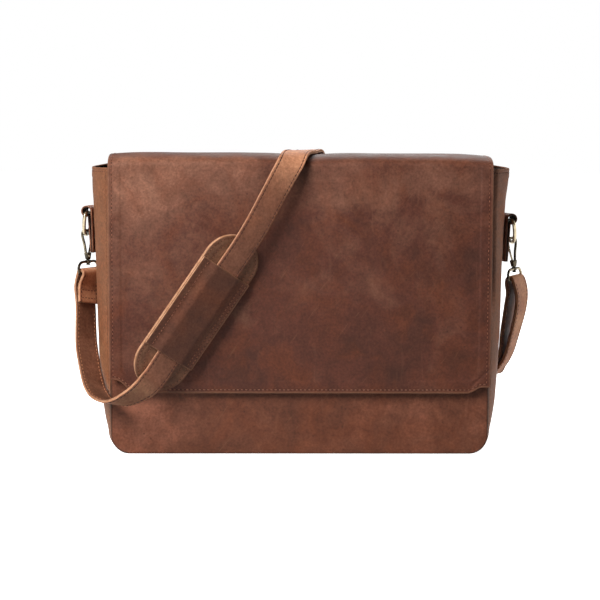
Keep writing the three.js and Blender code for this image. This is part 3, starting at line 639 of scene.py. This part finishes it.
def flapFace(u, v):
    backShare, topShare = flap["backShare"], flap["topShare"]
    backY = body["depth"] / 2 + gap + flap["thickness"]
    power = 2 / flap["roundness"]
    angle = np.clip((v - backShare) / topShare, 0, 1) * math.pi
    swing = np.sign(np.cos(angle)) * np.abs(np.cos(angle)) ** power
    arch = np.abs(np.sin(angle)) ** power
    front = np.clip((v - backShare - topShare) / (1 - backShare - topShare), 0, 1)
    low = np.clip(v / backShare, 0, 1)
    y = (backY - flap["frontTop"]) / 2 + (backY + flap["frontTop"]) / 2 * swing
    y = y - (flap["frontHem"] - flap["frontTop"]) * front
    hem = flap["hem"] + flap["edge"]
    z = flap["seam"] + flap["edge"] + low * (flap["shoulder"] - flap["seam"] - flap["edge"])
    z = z + (flap["top"] - flap["shoulder"]) * arch - front * (flap["shoulder"] - hem)
    across = 1 - 2 * u
    x = across * (flap["topHalf"] + (flap["hemHalf"] - flap["topHalf"]) * front - flap["edge"])
    lift = 0
    for sign, corner in ((-1, flap["leftCorner"]), (1, flap["rightCorner"])):
        lift = lift + corner["lift"] * ease(corner["start"], corner["end"], sign * x)
    droop = np.where(across > 0, flap["rightDroop"], flap["leftDroop"]) * across ** 10
    pressed = flap["pressed"]["deep"] * bell(x - flap["pressed"]["x"], flap["pressed"]["size"])
    z = z + lift * front ** 4 - (droop + pressed) * ease(flap["shoulder"] - 8, flap["shoulder"] + 6, z)
    y = y - flap["crown"] * np.cos(across * math.pi / 2) * np.sin(front * math.pi)
    return np.stack([x, y, z], axis=-1)


def makeFlap():
    drop = flap["shoulder"] - flap["hem"]
    frontShare = 1 - flap["backShare"] - flap["topShare"]
    rise = flap["shoulder"] - flap["seam"]
    back = flap["backShare"] * fineSteps(rise, 5, end=False) / rise
    top = flap["backShare"] + flap["topShare"] * np.linspace(0, 1, 64)[1:]
    front = joinSteps(fineSteps(drop, 3.6, start=False), drop - np.arange(4.6, 30, 1.2))  # fine at the crease
    front = 1 - frontShare * (1 - front / drop)
    vs = np.concatenate([back, top, front[1:]])
    width = 2 * flap["topHalf"]
    us = joinSteps(fineSteps(width, 3.6), np.arange(4.6, 26, 1.2)) / width
    u, v = np.meshgrid(us, vs)
    face = flapFace(u, v)
    x, z = face[..., 0], face[..., 2]
    frontPart = np.clip((v - 1 + frontShare) / frontShare, 0, 1)
    half = flap["topHalf"] + (flap["hemHalf"] - flap["topHalf"]) * frontPart
    fromSide = half - np.abs(x)
    fromHem = (1 - frontPart) * drop
    fromEdge = np.minimum(fromSide, fromHem)
    relief = waves(face, flap["waves"], 11) * ease(0, 25, fromEdge)
    raised = 1 - ease(280, 298, z)  # the hem is pressed flat over the top
    relief += flap["hemRise"] * raised * (1 - ease(flap["hemWidth"] - 1, flap["hemWidth"] + 1, fromEdge))
    relief -= 0.22 * bell(fromEdge - flap["stitchInset"], 0.9)
    crease = flap["crease"]
    spot = np.stack([x, z], axis=-1) - crease["from"]
    line = np.subtract(crease["to"], crease["from"])
    share = np.clip(spot @ line / (line @ line), 0, 1)
    fromCrease = np.linalg.norm(spot - share[..., None] * line, axis=-1)
    relief -= crease["deep"] * bell(fromCrease, crease["width"]) * (frontPart > 0.5)
    tone = patchTone(x, z, flap["patches"]) - 0.3 * ease(295, 300, z)  # painted shade: darker over the top, against the light the top catches
    wear = 0.5 * (1 - ease(0.3, 2.2, fromEdge)) + 0.08 * ease(292, 298, z)
    sheet = {"face": face, "normal": gridNormals(face), "relief": relief, "thickness": flap["thickness"],
             "edge": flap["edge"], "us": us, "vs": vs}
    piece = sheetPiece("flap", sheet, [flapLeather, dyedEdge, fleshSide], {"tone": tone, "wear": wear})
    dress("flap")
    inset = flap["stitchInset"] / width
    hemShare = 1 - flap["stitchInset"] / drop * frontShare
    down = np.linspace(0.02, hemShare, 400)
    along = np.linspace(inset, 1 - inset, 300)
    for name, at, look in (("flap_right_stitching", inset, sideStitch),
                           ("flap_left_stitching", 1 - inset, seamStitch)):
        stitchPiece(name, [onSheet(sheet, 0 * down + at, down)], look, thread)
    rows = [onSheet(sheet, along, 0 * along + at) for at in (hemShare,) + flap["seamRows"]]
    stitchPiece("flap_hem_stitching", rows, hemStitch, hemThread)


makeFlap()
print("flap")

# Hangers: tab, ring, hook, gate and swivel on each side, in the frame of the tab's loop
tab = {
    "loopOut": 214.2, "depthAt": 10, "width": 22, "loopRadius": 5.75, "leather": 1.7, "stemOut": 206.9,
    "turn": 11, "groove": {"at": 2.6, "deep": 0.15},
}
tabStitch = {"pitch": 3.7, "length": 2.6, "radius": 0.38, "hole": 0.4}
ring = {"halfWidth": 15, "drop": 22.8, "wire": 1.85, "corner": 4}
hook = {
    "wire": 1.35, "height": 29.5, "bowHalfWidth": 5.5, "pinX": 0.8, "pinZ": 4,
    "collarTop": 3.2, "collarBottom": 2.4, "collarHeight": 7, "collarDepth": 5.6,
    "postRadius": 1.25, "headRadius": 2.2, "headHeight": 1.5,
}
gate = {"length": 15.5, "lean": 14, "width": 2.2, "eyeRadius": 2, "noseGap": 0.4}
swivel = {
    "wire": 1.4, "halfWidth": 15, "drop": 11.4, "bossRadius": 2.7, "bossHeight": 3.6,
    "topCorner": 7, "barCorner": 3.5,
}
sides = {
    "left": {"sign": -1, "loop": 241, "stemEnd": 199, "ringLean": 8,
             "hookLean": -2, "hookTurn": 35, "swivelTurn": 54},
    "right": {"sign": 1, "loop": 234.5, "stemEnd": 191, "ringLean": 9.5,
              "hookLean": 5.5, "hookTurn": 35, "swivelTurn": 57},
}
wireSides, turnedSides = 20, 24
xAxis, yAxis = np.eye(3)[:2]


def turned(axis, angle):
    return Matrix.Rotation(math.radians(angle), 4, axis)


def placed(matrix, points):  # points in mm moved by a matrix
    grid = np.array(matrix)
    return np.asarray(points) @ grid[:3, :3].T + grid[:3, 3]


def arc(centre, radius, start, end, count, squash=1.0):
    angles = np.radians(np.linspace(start, end, count))
    return np.stack([centre[0] + radius * np.cos(angles), centre[1] + radius * squash * np.sin(angles)], 1)


# Round wire along a flat path; bright is the wear all round and how it changes to one side
def wireForm(path, across, radius, closed, bright):
    count, size = len(path), wireSides
    ahead = np.roll(path, -1, 0) - np.roll(path, 1, 0)
    if not closed:
        ahead[0], ahead[-1] = path[1] - path[0], path[-1] - path[-2]
    side = np.cross(across, unit(ahead))
    radius = np.broadcast_to(radius, count)
    angles = fullTurn(size)
    rings = path[:, None] + radius[:, None, None] * (
        np.cos(angles)[None, :, None] * side[:, None] + np.sin(angles)[None, :, None] * across)
    wear = np.broadcast_to(bright[0] + bright[1] * np.cos(angles), rings.shape[:2]).ravel()
    faces = hoopFaces(count, size) if closed else tubeFaces(count, size)
    return rings.reshape(-1, 3), faces, wear


# Turned form: (radius, height) rows about Z, with an oval section
def turnedForm(rows, wear, oval=1.0, square=2.0):
    angles = fullTurn(turnedSides)
    x, y = [np.sign(wave) * np.abs(wave) ** (2 / square) for wave in (np.cos(angles), np.sin(angles))]
    points = np.concatenate([np.stack([r * x, r * oval * y, 0 * x + z], 1) for r, z in rows])
    return points, tubeFaces(len(rows), turnedSides), np.full(len(points), wear)


def moved(matrix, form):
    return (placed(matrix, form[0]),) + form[1:]


def metalPiece(name, forms, matrix, ridesOn="bag"):
    points, faces, wear = [], [], []
    for formPoints, formFaces, formWear in forms:
        start = sum(len(p) for p in points)
        points.append(placed(matrix, formPoints))
        faces += [[start + k for k in face] for face in formFaces]
        wear.append(formWear)
    slots, attributes = [0] * len(faces), {"wear": np.concatenate(wear)}
    piece = makePiece(name, np.concatenate(points), faces, slots, [brass], attributes, ridesOn)
    dress(name)


def ringForm():
    half, drop, corner = ring["halfWidth"], ring["drop"], ring["corner"]
    outline = np.concatenate([
        np.stack([np.linspace(corner - half, half - corner, 14), np.zeros(14)], 1)[:-1],
        arc((half - corner, -corner), corner, 90, 0, 8)[:-1],
        arc((0, -corner), half, 0, -180, 46, (drop - corner) / half)[:-1],
        arc((corner - half, -corner), corner, 180, 90, 8)[:-1]])
    path = np.stack([0 * outline[:, 0], outline[:, 0], outline[:, 1]], 1)
    return [wireForm(path, xAxis, ring["wire"], True, (0.62, 0.35))]


# Centripetal Catmull-Rom curve through rows, ends mirrored; the first three columns are places in mm
def smoothPath(rows, count):
    rows = np.asarray(rows, float)
    spread = np.concatenate([[2 * rows[0] - rows[1]], rows, [2 * rows[-1] - rows[-2]]])
    steps = np.sqrt(np.linalg.norm(np.diff(spread[:, :3], axis=0), axis=1))
    knots = np.concatenate([[0], np.cumsum(steps)])
    at = np.linspace(0, len(rows) - 1, count)
    k = np.minimum(at.astype(int), len(rows) - 2)
    p = [spread[k + n] for n in range(4)]
    t = [knots[k + n][:, None] for n in range(4)]
    x = t[1] + (at - k)[:, None] * (t[2] - t[1])
    for level in (1, 2):
        p = [((t[n + level] - x) * p[n] + (x - t[n]) * p[n + 1]) / (t[n + level] - t[n])
             for n in range(len(p) - 1)]
    return ((t[2] - x) * p[0] + (x - t[1]) * p[1]) / (t[2] - t[1])


gateLean = math.radians(gate["lean"])
gatePin = np.array([hook["pinX"], 0, hook["pinZ"]])
gateWay = np.array([math.sin(gateLean), 0, math.cos(gateLean)])
noseEnd = gatePin + (gate["length"] + gate["noseGap"]) * gateWay


def hookForms():
    half, height = hook["bowHalfWidth"], hook["height"]
    bow = smoothPath([(-2, 0, 4.5), (-3.3, 0, 15), (-half, 0, height - 4), (0.8 - half, 0, height - 1),
                      (2.6 - half, 0, height), (half - 2.6, 0, height), (half - 0.8, 0, height - 1),
                      (half, 0, height - 4), noseEnd], 60)
    bowForm = wireForm(bow, yAxis, hook["wire"], False, (0.14, -0.18))
    low, high, tall, deep = hook["collarBottom"], hook["collarTop"], hook["collarHeight"], hook["collarDepth"]
    collar = turnedForm([(low - 0.8, 0), (low - 0.2, 0.3), (low, 0.9), ((low + high) / 2, tall / 2),
                         (high, tall - 0.8), (high - 0.3, tall - 0.2), (high - 1, tall)],
                        0.12, deep / (high + low), 4)
    rivet = turnedForm([(1.25, -0.2), (1.25, 0.35), (0.9, 0.6), (0.3, 0.7)], 0.8)
    rivetAt = Matrix.Translation((hook["pinX"] - 0.4, 0.2 - deep / 2, hook["pinZ"] - 0.4))
    end = -swivel["bossHeight"] - 2 * gap
    post = turnedForm([(hook["postRadius"], end - 0.5), (hook["postRadius"], 0.8)], 0.0)
    wide, foot = hook["headRadius"], end - hook["headHeight"]
    head = turnedForm([(wide - 0.9, foot), (wide - 0.2, foot + 0.35), (wide, end - 0.6),
                       (wide - 0.3, end - 0.1), (wide - 0.8, end)], 0.1)
    return [bowForm, collar, moved(rivetAt @ turned("X", 90), rivet), post, head]


def gateForms():
    swell = np.array([1, 1, 0.95, 0.9, 0.88, 0.86, 0.86, 0.86, 0.86, 0.88, 0.95, 1.05, 1.05, 0.7])
    bar = np.linspace(1, gate["length"], len(swell))[:, None] * [0, 0, 1]
    barForm = wireForm(bar, yAxis, gate["width"] / 2 * swell, False, (0.25, 0.25))
    radius = gate["eyeRadius"]
    eye = turnedForm([(radius - 0.3, -1), (radius, -0.7), (radius, 0.7), (radius - 0.3, 1)], 0.1)
    return [moved(turned("Y", gate["lean"]), barForm), moved(turned("X", 90), eye)]


def swivelForms():
    half, drop = swivel["halfWidth"], swivel["drop"]
    high, low = swivel["topCorner"], swivel["barCorner"]
    outline = np.concatenate([
        np.stack([np.linspace(high - half, half - high, 16), np.zeros(16)], 1)[:-1],
        arc((half - high, -high), high, 90, 0, 14),
        arc((half - low, low - drop), low, 0, -90, 8)[:-1],
        np.stack([np.linspace(half - low, low - half, 20), np.full(20, -drop)], 1)[:-1],
        arc((low - half, low - drop), low, -90, -180, 8),
        arc((high - half, -high), high, 180, 90, 14)[:-1]])
    path = np.stack([outline[:, 0], 0 * outline[:, 0], outline[:, 1]], 1)
    loop = wireForm(path, yAxis, swivel["wire"], True, (0.4, 0.4))
    wide, top = swivel["bossRadius"], swivel["bossHeight"] / 2
    boss = turnedForm([(wide - 0.5, -top), (wide, 0.4 - top), (wide, top - 0.4), (wide - 0.5, top)], 0.1)
    return [loop, boss]


# Leather tab: up the inner layer, round the ring's bar and down the outer layer
def makeTab(name, side, matrix):
    drop = side["loop"] - side["stemEnd"]
    layer = tab["leather"]
    radius = tab["loopRadius"] - layer / 2
    stemIn = tab["stemOut"] - tab["loopOut"]
    inner = np.linspace((stemIn + layer / 2, -drop), (-radius, -1), 14)
    closing = -90 - math.degrees(math.asin((tab["loopRadius"] - 2 * layer) / tab["loopRadius"]))
    loop = arc((0, 0), radius, 180, closing, 40)
    outer = np.linspace(loop[-1], (stemIn + 1.5 * layer, -drop), 14)[1:]
    line = np.concatenate([inner, loop, outer])
    centre = placed(matrix, np.stack([line[:, 0], 0 * line[:, 0], line[:, 1]], 1))
    across = np.broadcast_to(placed(matrix, [[0, 1, 0]])[0] - placed(matrix, [[0, 0, 0]])[0], centre.shape)
    ahead = unit(np.gradient(centre, axis=0))
    facing = unit(np.cross(ahead, across))
    section = strapSection(tab["width"], layer - 0.05, tab["groove"])
    section = [row for row in section if row[1]]  # one layer, so no line along its edge
    wear = 0.4 * bell(np.linspace(-2.4, 2.4, len(centre)), 1)
    piece = ribbonPiece(name, centre, across, facing, section, [fleshSide, dyedEdge, strapLeather],
                        {"wear": wear})
    dress(name)
    away = tab["width"] / 2 - tab["groove"]["at"]
    skin = centre + (layer / 2 - tab["groove"]["deep"]) * facing
    sewn = slice(-12, -1)  # the outer layer, below the loop
    rows = [(skin[sewn] + edge * away * across[sewn], facing[sewn]) for edge in (-1, 1)]
    span = np.linspace(-away, away, 8)[:, None]
    rows += [(skin[at] + span * across[at], np.tile(facing[at], (8, 1))) for at in (-12, -2)]
    stitchPiece(name + "_stitching", rows, tabStitch, thread)


def makeSide(name, side):
    sign = side["sign"]
    facing = 180 if sign > 0 else 0
    loopAt = Vector((sign * tab["loopOut"], tab["depthAt"], side["loop"]))
    makeTab(name + "_tab", side, Matrix.Translation(loopAt) @ turned("Z", sign * tab["turn"] + 180 - facing))
    slack = tab["loopRadius"] - tab["leather"] - ring["wire"] - 2 * gap
    ringAt = loopAt - Vector((0, 0, slack))
    ringTurn = turned("Y", -sign * side["ringLean"])
    ringFrame = Matrix.Translation(ringAt) @ ringTurn @ turned("Z", sign * tab["turn"])
    metalPiece(name + "_ring", ringForm(), ringFrame)
    bowDrop = ring["drop"] - ring["wire"] - hook["wire"] - 3 * gap
    hookAt = ringAt + ringTurn @ Vector((0, 0, -bowDrop))
    hookFrame = (Matrix.Translation(hookAt) @ turned("Y", -sign * side["hookLean"])
                 @ turned("Z", side["hookTurn"] + facing) @ Matrix.Translation((0, 0, -hook["height"])))
    metalPiece(name + "_hook", hookForms(), hookFrame)
    metalPiece(name + "_gate", gateForms(), hookFrame @ Matrix.Translation(gatePin), name + "_gate")
    swivelFrame = (hookFrame @ Matrix.Translation((0, 0, -gap - swivel["bossHeight"] / 2))
                   @ turned("Z", side["swivelTurn"] - side["hookTurn"] - facing))
    metalPiece(name + "_swivel", swivelForms(), swivelFrame)
    grid = np.array(swivelFrame)
    return {"centre": placed(swivelFrame, [0, 0, -swivel["drop"]]), "along": grid[:3, 0], "up": grid[:3, 2]}


leftBar = makeSide("left", sides["left"])
rightBar = makeSide("right", sides["right"])
print("hangers")

# Strap: two layers of leather, folded round the swivel bars, through the pad and over the top of the bag
strap = {
    "width": 26, "thickness": 3.2, "sewnGap": 0.5, "looseGap": 3, "foldRadius": 3.7,
    "groove": {"at": 2.6, "deep": 0.22}, "crossRows": (4.5, 12.5), "stepsPerRow": 12,
}
pad = {
    "centre": (-101.5, -73.4, 143.5), "along": (0.562, 0.03, 0.826), "tilt": 25,
    "length": 176, "width": 59, "base": 5, "baseRows": (3, 9.5),
    "coverLength": 102, "cover": 2, "edge": 0.5, "seamInset": 6.5, "rimInset": 2.6,
    "strapShares": (-0.44, -0.3, -0.15, 0.15, 0.3, 0.46),
}
strapStitch = {"pitch": 4.3, "length": 3.2, "radius": 0.45, "hole": 0.2}
strapFaceStitch = {"pitch": 4.3, "length": 2.7, "radius": 0.48, "hole": 0.5}
# Rows of the strap in mm: centre and direction across it
leftLimb = [
    ((-220.5, 14, 164), (0.63, 0.77, -0.04)), ((-218.4, 9, 146), (0.66, 0.75, -0.05)),
    ((-216.6, -5, 110), (0.72, 0.69, -0.06)), ((-213, -21, 91), (0.73, 0.68, -0.08)),
    ((-209, -33, 76), (0.7, 0.71, -0.08)), ((-203.5, -48, 64.5), (0.6, 0.79, -0.04)),
    ((-196.3, -61, 58), (0.48, 0.87, -0.08)), ((-187, -68, 55), (0.4, 0.89, -0.2)),
    ((-175, -74, 57.3), (0.45, 0.8, -0.4)), ((-158.5, -79.5, 67), (0.62, 0.6, -0.5)),
]
overTop = [
    ((-44.5, -70, 229), (0.82, 0.38, -0.42)), ((-20, -66, 275), (0.9, 0.34, -0.28)),
    ((-10.5, -59, 292), (0.93, 0.24, -0.24)), ((-5, -42, 300.8), (0.97, -0.12, -0.1)),
    ((4, 0, 301.6), (0.98, -0.2, 0)), ((12, 38, 300.6), (0.97, -0.12, 0.1)),
    ((18, 53, 289), (0.93, 0.1, 0.33)), ((34, 58, 266), (0.87, 0.2, 0.45)),
]
backRun = [
    ((88, 63, 206), (0.79, 0.3, 0.53)), ((142, 67, 147), (0.75, 0.4, 0.52)),
    ((168, 68, 112), (0.7, 0.5, 0.5)), ((184, 65, 88), (0.62, 0.67, 0.4)),
    ((195, 58, 74), (0.52, 0.83, 0.2)), ((204, 47, 70), (0.46, 0.88, 0.08)),
    ((210, 34, 78), (0.42, 0.9, 0.05)), ((216.6, 23.5, 92), (0.42, 0.9, 0.05)),
    ((222.3, 14, 116), (0.45, 0.89, 0.05)), ((228, 11, 144), (0.5, 0.86, 0.06)),
    ((228.2, 10.5, 160), (0.53, 0.84, 0.07)),
]
# The tail runs back along the strap: rows of the back run and mm off it
tailOffsets = [
    (10, 10), (9, 12), (8, 10), (7, 5.6), (6, 4.6), (5, 4), (4, 3.8), (3, 3.8), (2, 3.8), (1, 3.8)]

padAlong = unit(np.array(pad["along"]))
padLevel = unit(np.cross([0, 1, 0], padAlong))
padAcross = np.array(Matrix.Rotation(math.radians(pad["tilt"]), 3, Vector(padAlong)) @ Vector(padLevel))
padOut = np.cross(padAcross, padAlong)


def strapRows(table):
    return [(np.array(at, float), np.array(across, float)) for at, across in table]


def foldRows(bar):
    front = np.cross(bar["along"], bar["up"])
    ways = [math.cos(a) * front + math.sin(a) * bar["up"] for a in np.radians([0, 45, 90, 135, 180])]
    return [(bar["centre"] + strap["foldRadius"] * way, bar["along"]) for way in ways]


def offsetRow(rows, index, offset):  # a row moved off the strap's inner face
    before, after = rows[max(index - 1, 0)][0], rows[min(index + 1, len(rows) - 1)][0]
    inner = unit(np.cross(after - before, rows[index][1]))
    return rows[index][0] + offset * inner, rows[index][1]


def makeStrap():
    left, back = strapRows(leftLimb), strapRows(backRun)
    foldBack = [offsetRow(left, 1, strap["thickness"] + strap["sewnGap"]),
                offsetRow(left, 0, strap["thickness"] + strap["looseGap"])]
    padRows = [(share * pad["length"] * padAlong + pad["centre"], padAcross) for share in pad["strapShares"]]
    tail = [offsetRow(back, row, offset) for row, offset in tailOffsets]
    leftFold, rightFold = foldRows(leftBar), foldRows(rightBar)
    rows = foldBack + leftFold + left + padRows + strapRows(overTop) + back + rightFold + tail
    steps = strap["stepsPerRow"]
    count = (len(rows) - 1) * steps + 1
    centre, across = np.hsplit(smoothPath([np.concatenate(row) for row in rows], count), 2)
    ahead = unit(np.gradient(centre, axis=0))
    across = unit(across - (across * ahead).sum(1, keepdims=True) * ahead)
    inner = np.cross(ahead, across)
    section = strapSection(strap["width"], strap["thickness"], strap["groove"])
    x, _, z = centre.T
    tone = 0.12 * ripple(centre, 60, 21) - 0.12  # painted light: paler beside the bag and over the top, as if those parts were lit more
    tone += 0.8 * ease(140, 165, -x) + 0.7 * ease(135, 170, x) + 0.55 * ease(240, 300, z)
    piece = ribbonPiece("strap", centre, across, inner, section, [strapLeather, cutEdge, strapBack],
                        {"tone": tone})
    dress("strap")
    away = strap["width"] / 2 - strap["groove"]["at"]
    lift = strap["thickness"] / 2 - strap["groove"]["deep"]
    reach = runLength(centre)
    span = np.linspace(-away, away, 12)[:, None]
    leftTurn, rightTurn = len(foldBack) * steps, (len(rows) - len(tail) - len(rightFold)) * steps
    pastFold = (len(leftFold) - 1) * steps
    flatParts = [slice(0, leftTurn), slice(leftTurn + pastFold, rightTurn), slice(rightTurn + pastFold, None)]
    for name, face, look, material in (("strap_stitching", -1, strapFaceStitch, redThread),
                                       ("strap_back_stitching", 1, strapStitch, strapThread)):
        lines = [((centre + edge * away * across + face * lift * inner)[part], (face * inner)[part])
                 for edge in (-1, 1) for part in flatParts]
        for distance in strap["crossRows"]:  # rows across the sewn end
            row = int(np.searchsorted(reach, distance))
            lines.append((centre[row] + span * across[row] + face * lift * inner[row],
                          np.tile(face * inner[row], (len(span), 1))))
        stitchPiece(name, lines, look, material)


makeStrap()
print("strap")

# Shoulder pad: a long rounded base under the strap and a sewn sleeve over it, local x along the strap
padStitch = {"pitch": 3.6, "length": 2.8, "radius": 0.34, "hole": 0.28}


def onPad(points):
    points = np.asarray(points, float)
    x, y, z = np.split(points, 3, axis=-1)
    return np.array(pad["centre"]) + x * padAlong - y * padAcross + z * padOut


def padOutline(radius, count=24):  # rounded ends and straight sides
    straight = (pad["length"] - pad["width"]) / 2
    side = np.linspace(-straight, straight, 40)[1:-1]
    return np.concatenate([
        arc((straight, 0), radius, -90, 90, count), np.stack([side[::-1], 0 * side + radius], 1),
        arc((-straight, 0), radius, 90, 270, count), np.stack([side, 0 * side - radius], 1)])


def makePadBase():
    radius, thick = pad["width"] / 2, pad["base"]
    top = -strap["thickness"] / 2 - gap
    outer, inner = pad["baseRows"]  # stitch rows
    rows = [  # radius, height and material, from the underside over the cut edge to the top
        (3, 0.1 - thick, 2), (radius - 4, -thick, 2), (radius - 0.6, -thick, 1), (radius, 0.6 - thick, 1),
        (radius, -0.55 * thick, 1), (radius - 0.3, -0.5 * thick, 1), (radius, -0.45 * thick, 1),
        (radius, -0.6, 1), (radius - 0.5, -0.1, 0), (radius - outer + 1.2, 0, 0), (radius - outer, -0.35, 0),
        (radius - outer - 1.2, 0, 0), (radius - inner + 1.5, 0.05, 0), (radius - inner, -0.3, 0),
        (radius - inner - 1.5, 0.05, 0), (3, 0.1, 0)]
    loops = [np.insert(padOutline(r), 2, top + z, axis=1) for r, z, _ in rows]
    points, size = np.concatenate(loops), len(loops[0])
    slots = [slot for _, _, slot in rows[1:] for _ in range(size)] + [2, 0]
    piece = makePiece("pad_base", onPad(points), tubeFaces(len(rows), size), slots,
                      [padLeather, cutEdge, fleshSide], {"tone": np.full(len(points), 0.5)})
    dress("pad_base")
    lines = []
    for inset in pad["baseRows"]:
        loop = padOutline(radius - inset)
        loop = np.insert(np.concatenate([loop, loop[:1]]), 2, top - 0.3, axis=1)
        lines.append((onPad(loop), np.tile(padOut, (len(loop), 1))))
    stitchPiece("pad_base_stitching", lines, padStitch, thread)


def makePadCover():
    width, length, edge = pad["width"], pad["coverLength"], pad["edge"]
    us, vs = fineSteps(width, 1.5) / width, fineSteps(length, 3) / length
    u, v = np.meshgrid(us, vs)
    x = (2 * v - 1) * (length / 2 - edge)
    y = (1 - 2 * u) * (width / 2 - edge)
    low = -strap["thickness"] / 2 + pad["cover"]
    rise = strap["thickness"] + gap  # over the strap
    z = low + rise * (1 - ease(strap["width"] / 2 - 1.5, strap["width"] / 2 + 10, np.abs(y)))
    face = onPad(np.stack([x, y, z], axis=-1))
    fromSide = width / 2 - np.abs(y)
    fromEdge = np.minimum(fromSide, length / 2 - np.abs(x))
    relief = 0.35 * ripple(face, 25, 31) * ease(0, 10, fromEdge)
    relief -= 0.25 * bell(fromSide - pad["seamInset"], 0.8)
    wear = 0.45 * (1 - ease(0.2, 1.6, fromEdge)) + 0.5 * (y < 0) * (1 - ease(0.5, 2.2, fromSide))
    tone = 0.15 * ripple(face, 30, 33)
    sheet = {"face": face, "normal": gridNormals(face), "relief": relief, "thickness": pad["cover"],
             "edge": edge, "us": us, "vs": vs}
    piece = sheetPiece("pad_cover", sheet, [padLeather, cutEdge, fleshSide], {"tone": tone, "wear": wear})
    dress("pad_cover")
    along = np.linspace(0.015, 0.985, 120)
    rows = [onSheet(sheet, 0 * along + at / width, along)
            for at in (pad["seamInset"], width - pad["seamInset"], width - pad["rimInset"])]
    stitchPiece("pad_cover_stitching", rows, padStitch, thread)


makePadBase()
makePadCover()
print("shoulder pad")

# Adjuster behind the bag: a flat brass band bent to a frame round the strap and its tail
slider = {
    "opening": 27.5, "reach": 7.9, "bar": 3.5, "length": 8, "corner": 3.4, "edge": 0.9,
    "row": 1, "off": 1.9,  # row of the back run and mm off it
}


def roundedBox(halfWidth, halfHeight, radius, count):  # outline and its outward directions
    corners = ((1, 1, 0), (-1, 1, 90), (-1, -1, 180), (1, -1, 270))
    outline = [arc((x * (halfWidth - radius), y * (halfHeight - radius)), radius, turn, turn + 90, count)
               for x, y, turn in corners]
    outward = [arc((0, 0), 1, turn, turn + 90, count) for _, _, turn in corners]
    return np.concatenate(outline), np.concatenate(outward)


def makeSlider():
    bar, row = slider["bar"], slider["row"]
    halfLength = slider["length"] / 2
    halfWidth, halfHeight = (slider["opening"] + bar) / 2, (slider["reach"] + bar) / 2
    path, outward = roundedBox(halfWidth, halfHeight, slider["corner"], 9)
    section, _ = roundedBox(bar / 2, halfLength, slider["edge"], 5)
    rings = path[:, None] + section[None, :, :1] * outward[:, None]
    along = np.broadcast_to(section[None, :, 1:], rings.shape[:2] + (1,))
    points = np.concatenate([rings, along], axis=-1).reshape(-1, 3)
    faces = hoopFaces(*rings.shape[:2])
    worn = 0.35 + 0.35 * ease(halfLength - 1.4, halfLength - 0.2, np.abs(points[:, 2]))
    rows = strapRows(backRun)
    centre, across = offsetRow(rows, row, slider["off"])
    ahead = unit(rows[row + 1][0] - rows[row - 1][0])
    across = unit(across - across @ ahead * ahead)
    axes = Matrix(np.column_stack([across, np.cross(ahead, across), ahead]).tolist()).to_4x4()
    metalPiece("strap_slider", [(points, faces, worn)], Matrix.Translation(centre) @ axes)


makeSlider()
print("adjuster")

# Stage: white floor and surround, a large soft light from the upper left, three weaker ones and a spot
stage = {
    "floor": 12.0, "surround": 0.04, "aim": (0, 0, 0.15),
    "lights": {
        "key": {"at": (-1.6, -1.6, 1.8), "size": 1.5, "power": 110.0},
        "low": {"at": (-1.3, -1.7, 0.12), "size": 0.9, "power": 3.5},
        "right": {"at": (2.3, 0.4, 0.6), "size": 1.2, "power": 25.0},
        "back": {"at": (0.5, 2.2, 1.5), "size": 1.4, "power": 30.0},
    },
    "spot": {
        "at": (-0.35, -1.75, 0.06), "aim": (-0.15, -0.05, 0.03), "power": 50.0, "angle": 13, "size": 0.3},
}
shot = {"at": (-0.0463, -2.0367, 0.3282), "aim": (0.0006, 0.0, 0.1512), "lens": 120.3, "roll": 0.25}
scene = bpy.context.scene

# Matt white paper: it scatters all light, and its own glow keeps it white up to the horizon
paper, _, paperShader = newMaterial("matt white paper")
for socket, value in (("Base Color", linearColour("#f4f4f3")), ("Roughness", 0.9),
                      ("Emission Color", linearColour("#ffffff")), ("Emission Strength", 1.0)):
    paperShader.inputs[socket].default_value = value
floorMesh = bpy.data.meshes.new("floor")
corners = [(x * stage["floor"], y * stage["floor"], 0) for x, y in ((-1, -1), (1, -1), (1, 1), (-1, 1))]
floorMesh.from_pydata(corners, [], [(0, 1, 2, 3)])
floorMesh.materials.append(paper)
floor = bpy.data.objects.new("floor", floorMesh)
scene.collection.objects.link(floor)
floor.visible_diffuse = False  # its glare stays off the leather

world = bpy.data.worlds.new("studio")
scene.world = world
world.use_nodes = True
background = world.node_tree.nodes["Background"].inputs
seen = addNode(world.node_tree, "ShaderNodeLightPath").outputs["Is Camera Ray"]
settings = {"To Min": stage["surround"], "To Max": 1.0}
power = addNode(world.node_tree, "ShaderNodeMapRange", settings, {"Value": seen})
background["Color"].default_value = (1, 1, 1, 1)
world.node_tree.links.new(power.outputs[0], background["Strength"])


def standAt(name, data, at, aim):  # light or camera at one place, looking at another
    thing = bpy.data.objects.new(name, data)
    scene.collection.objects.link(thing)
    thing.location = at
    thing.rotation_euler = (Vector(aim) - thing.location).to_track_quat("-Z", "Y").to_euler()
    return thing


for name, lamp in stage["lights"].items():
    light = bpy.data.lights.new(name, "AREA")
    light.energy = lamp["power"]
    light.size = lamp["size"]
    standAt(name, light, lamp["at"], stage["aim"])

spot = bpy.data.lights.new("spot", "SPOT")  # fills the lower left corner
spot.energy = stage["spot"]["power"]
spot.spot_size = math.radians(stage["spot"]["angle"])
spot.spot_blend = 1.0
spot.shadow_soft_size = stage["spot"]["size"]
standAt("spot", spot, stage["spot"]["at"], stage["spot"]["aim"])

# Camera at the photograph's angle: 5 degrees above the horizon and a little to the left
camera = standAt("camera", bpy.data.cameras.new("camera"), shot["at"], shot["aim"])
camera.data.lens = shot["lens"]
camera.data.sensor_width = 36
camera.rotation_euler.rotate_axis("Z", math.radians(shot["roll"]))
scene.camera = camera
scene.view_settings.view_transform = "Standard"
print("stage and camera")
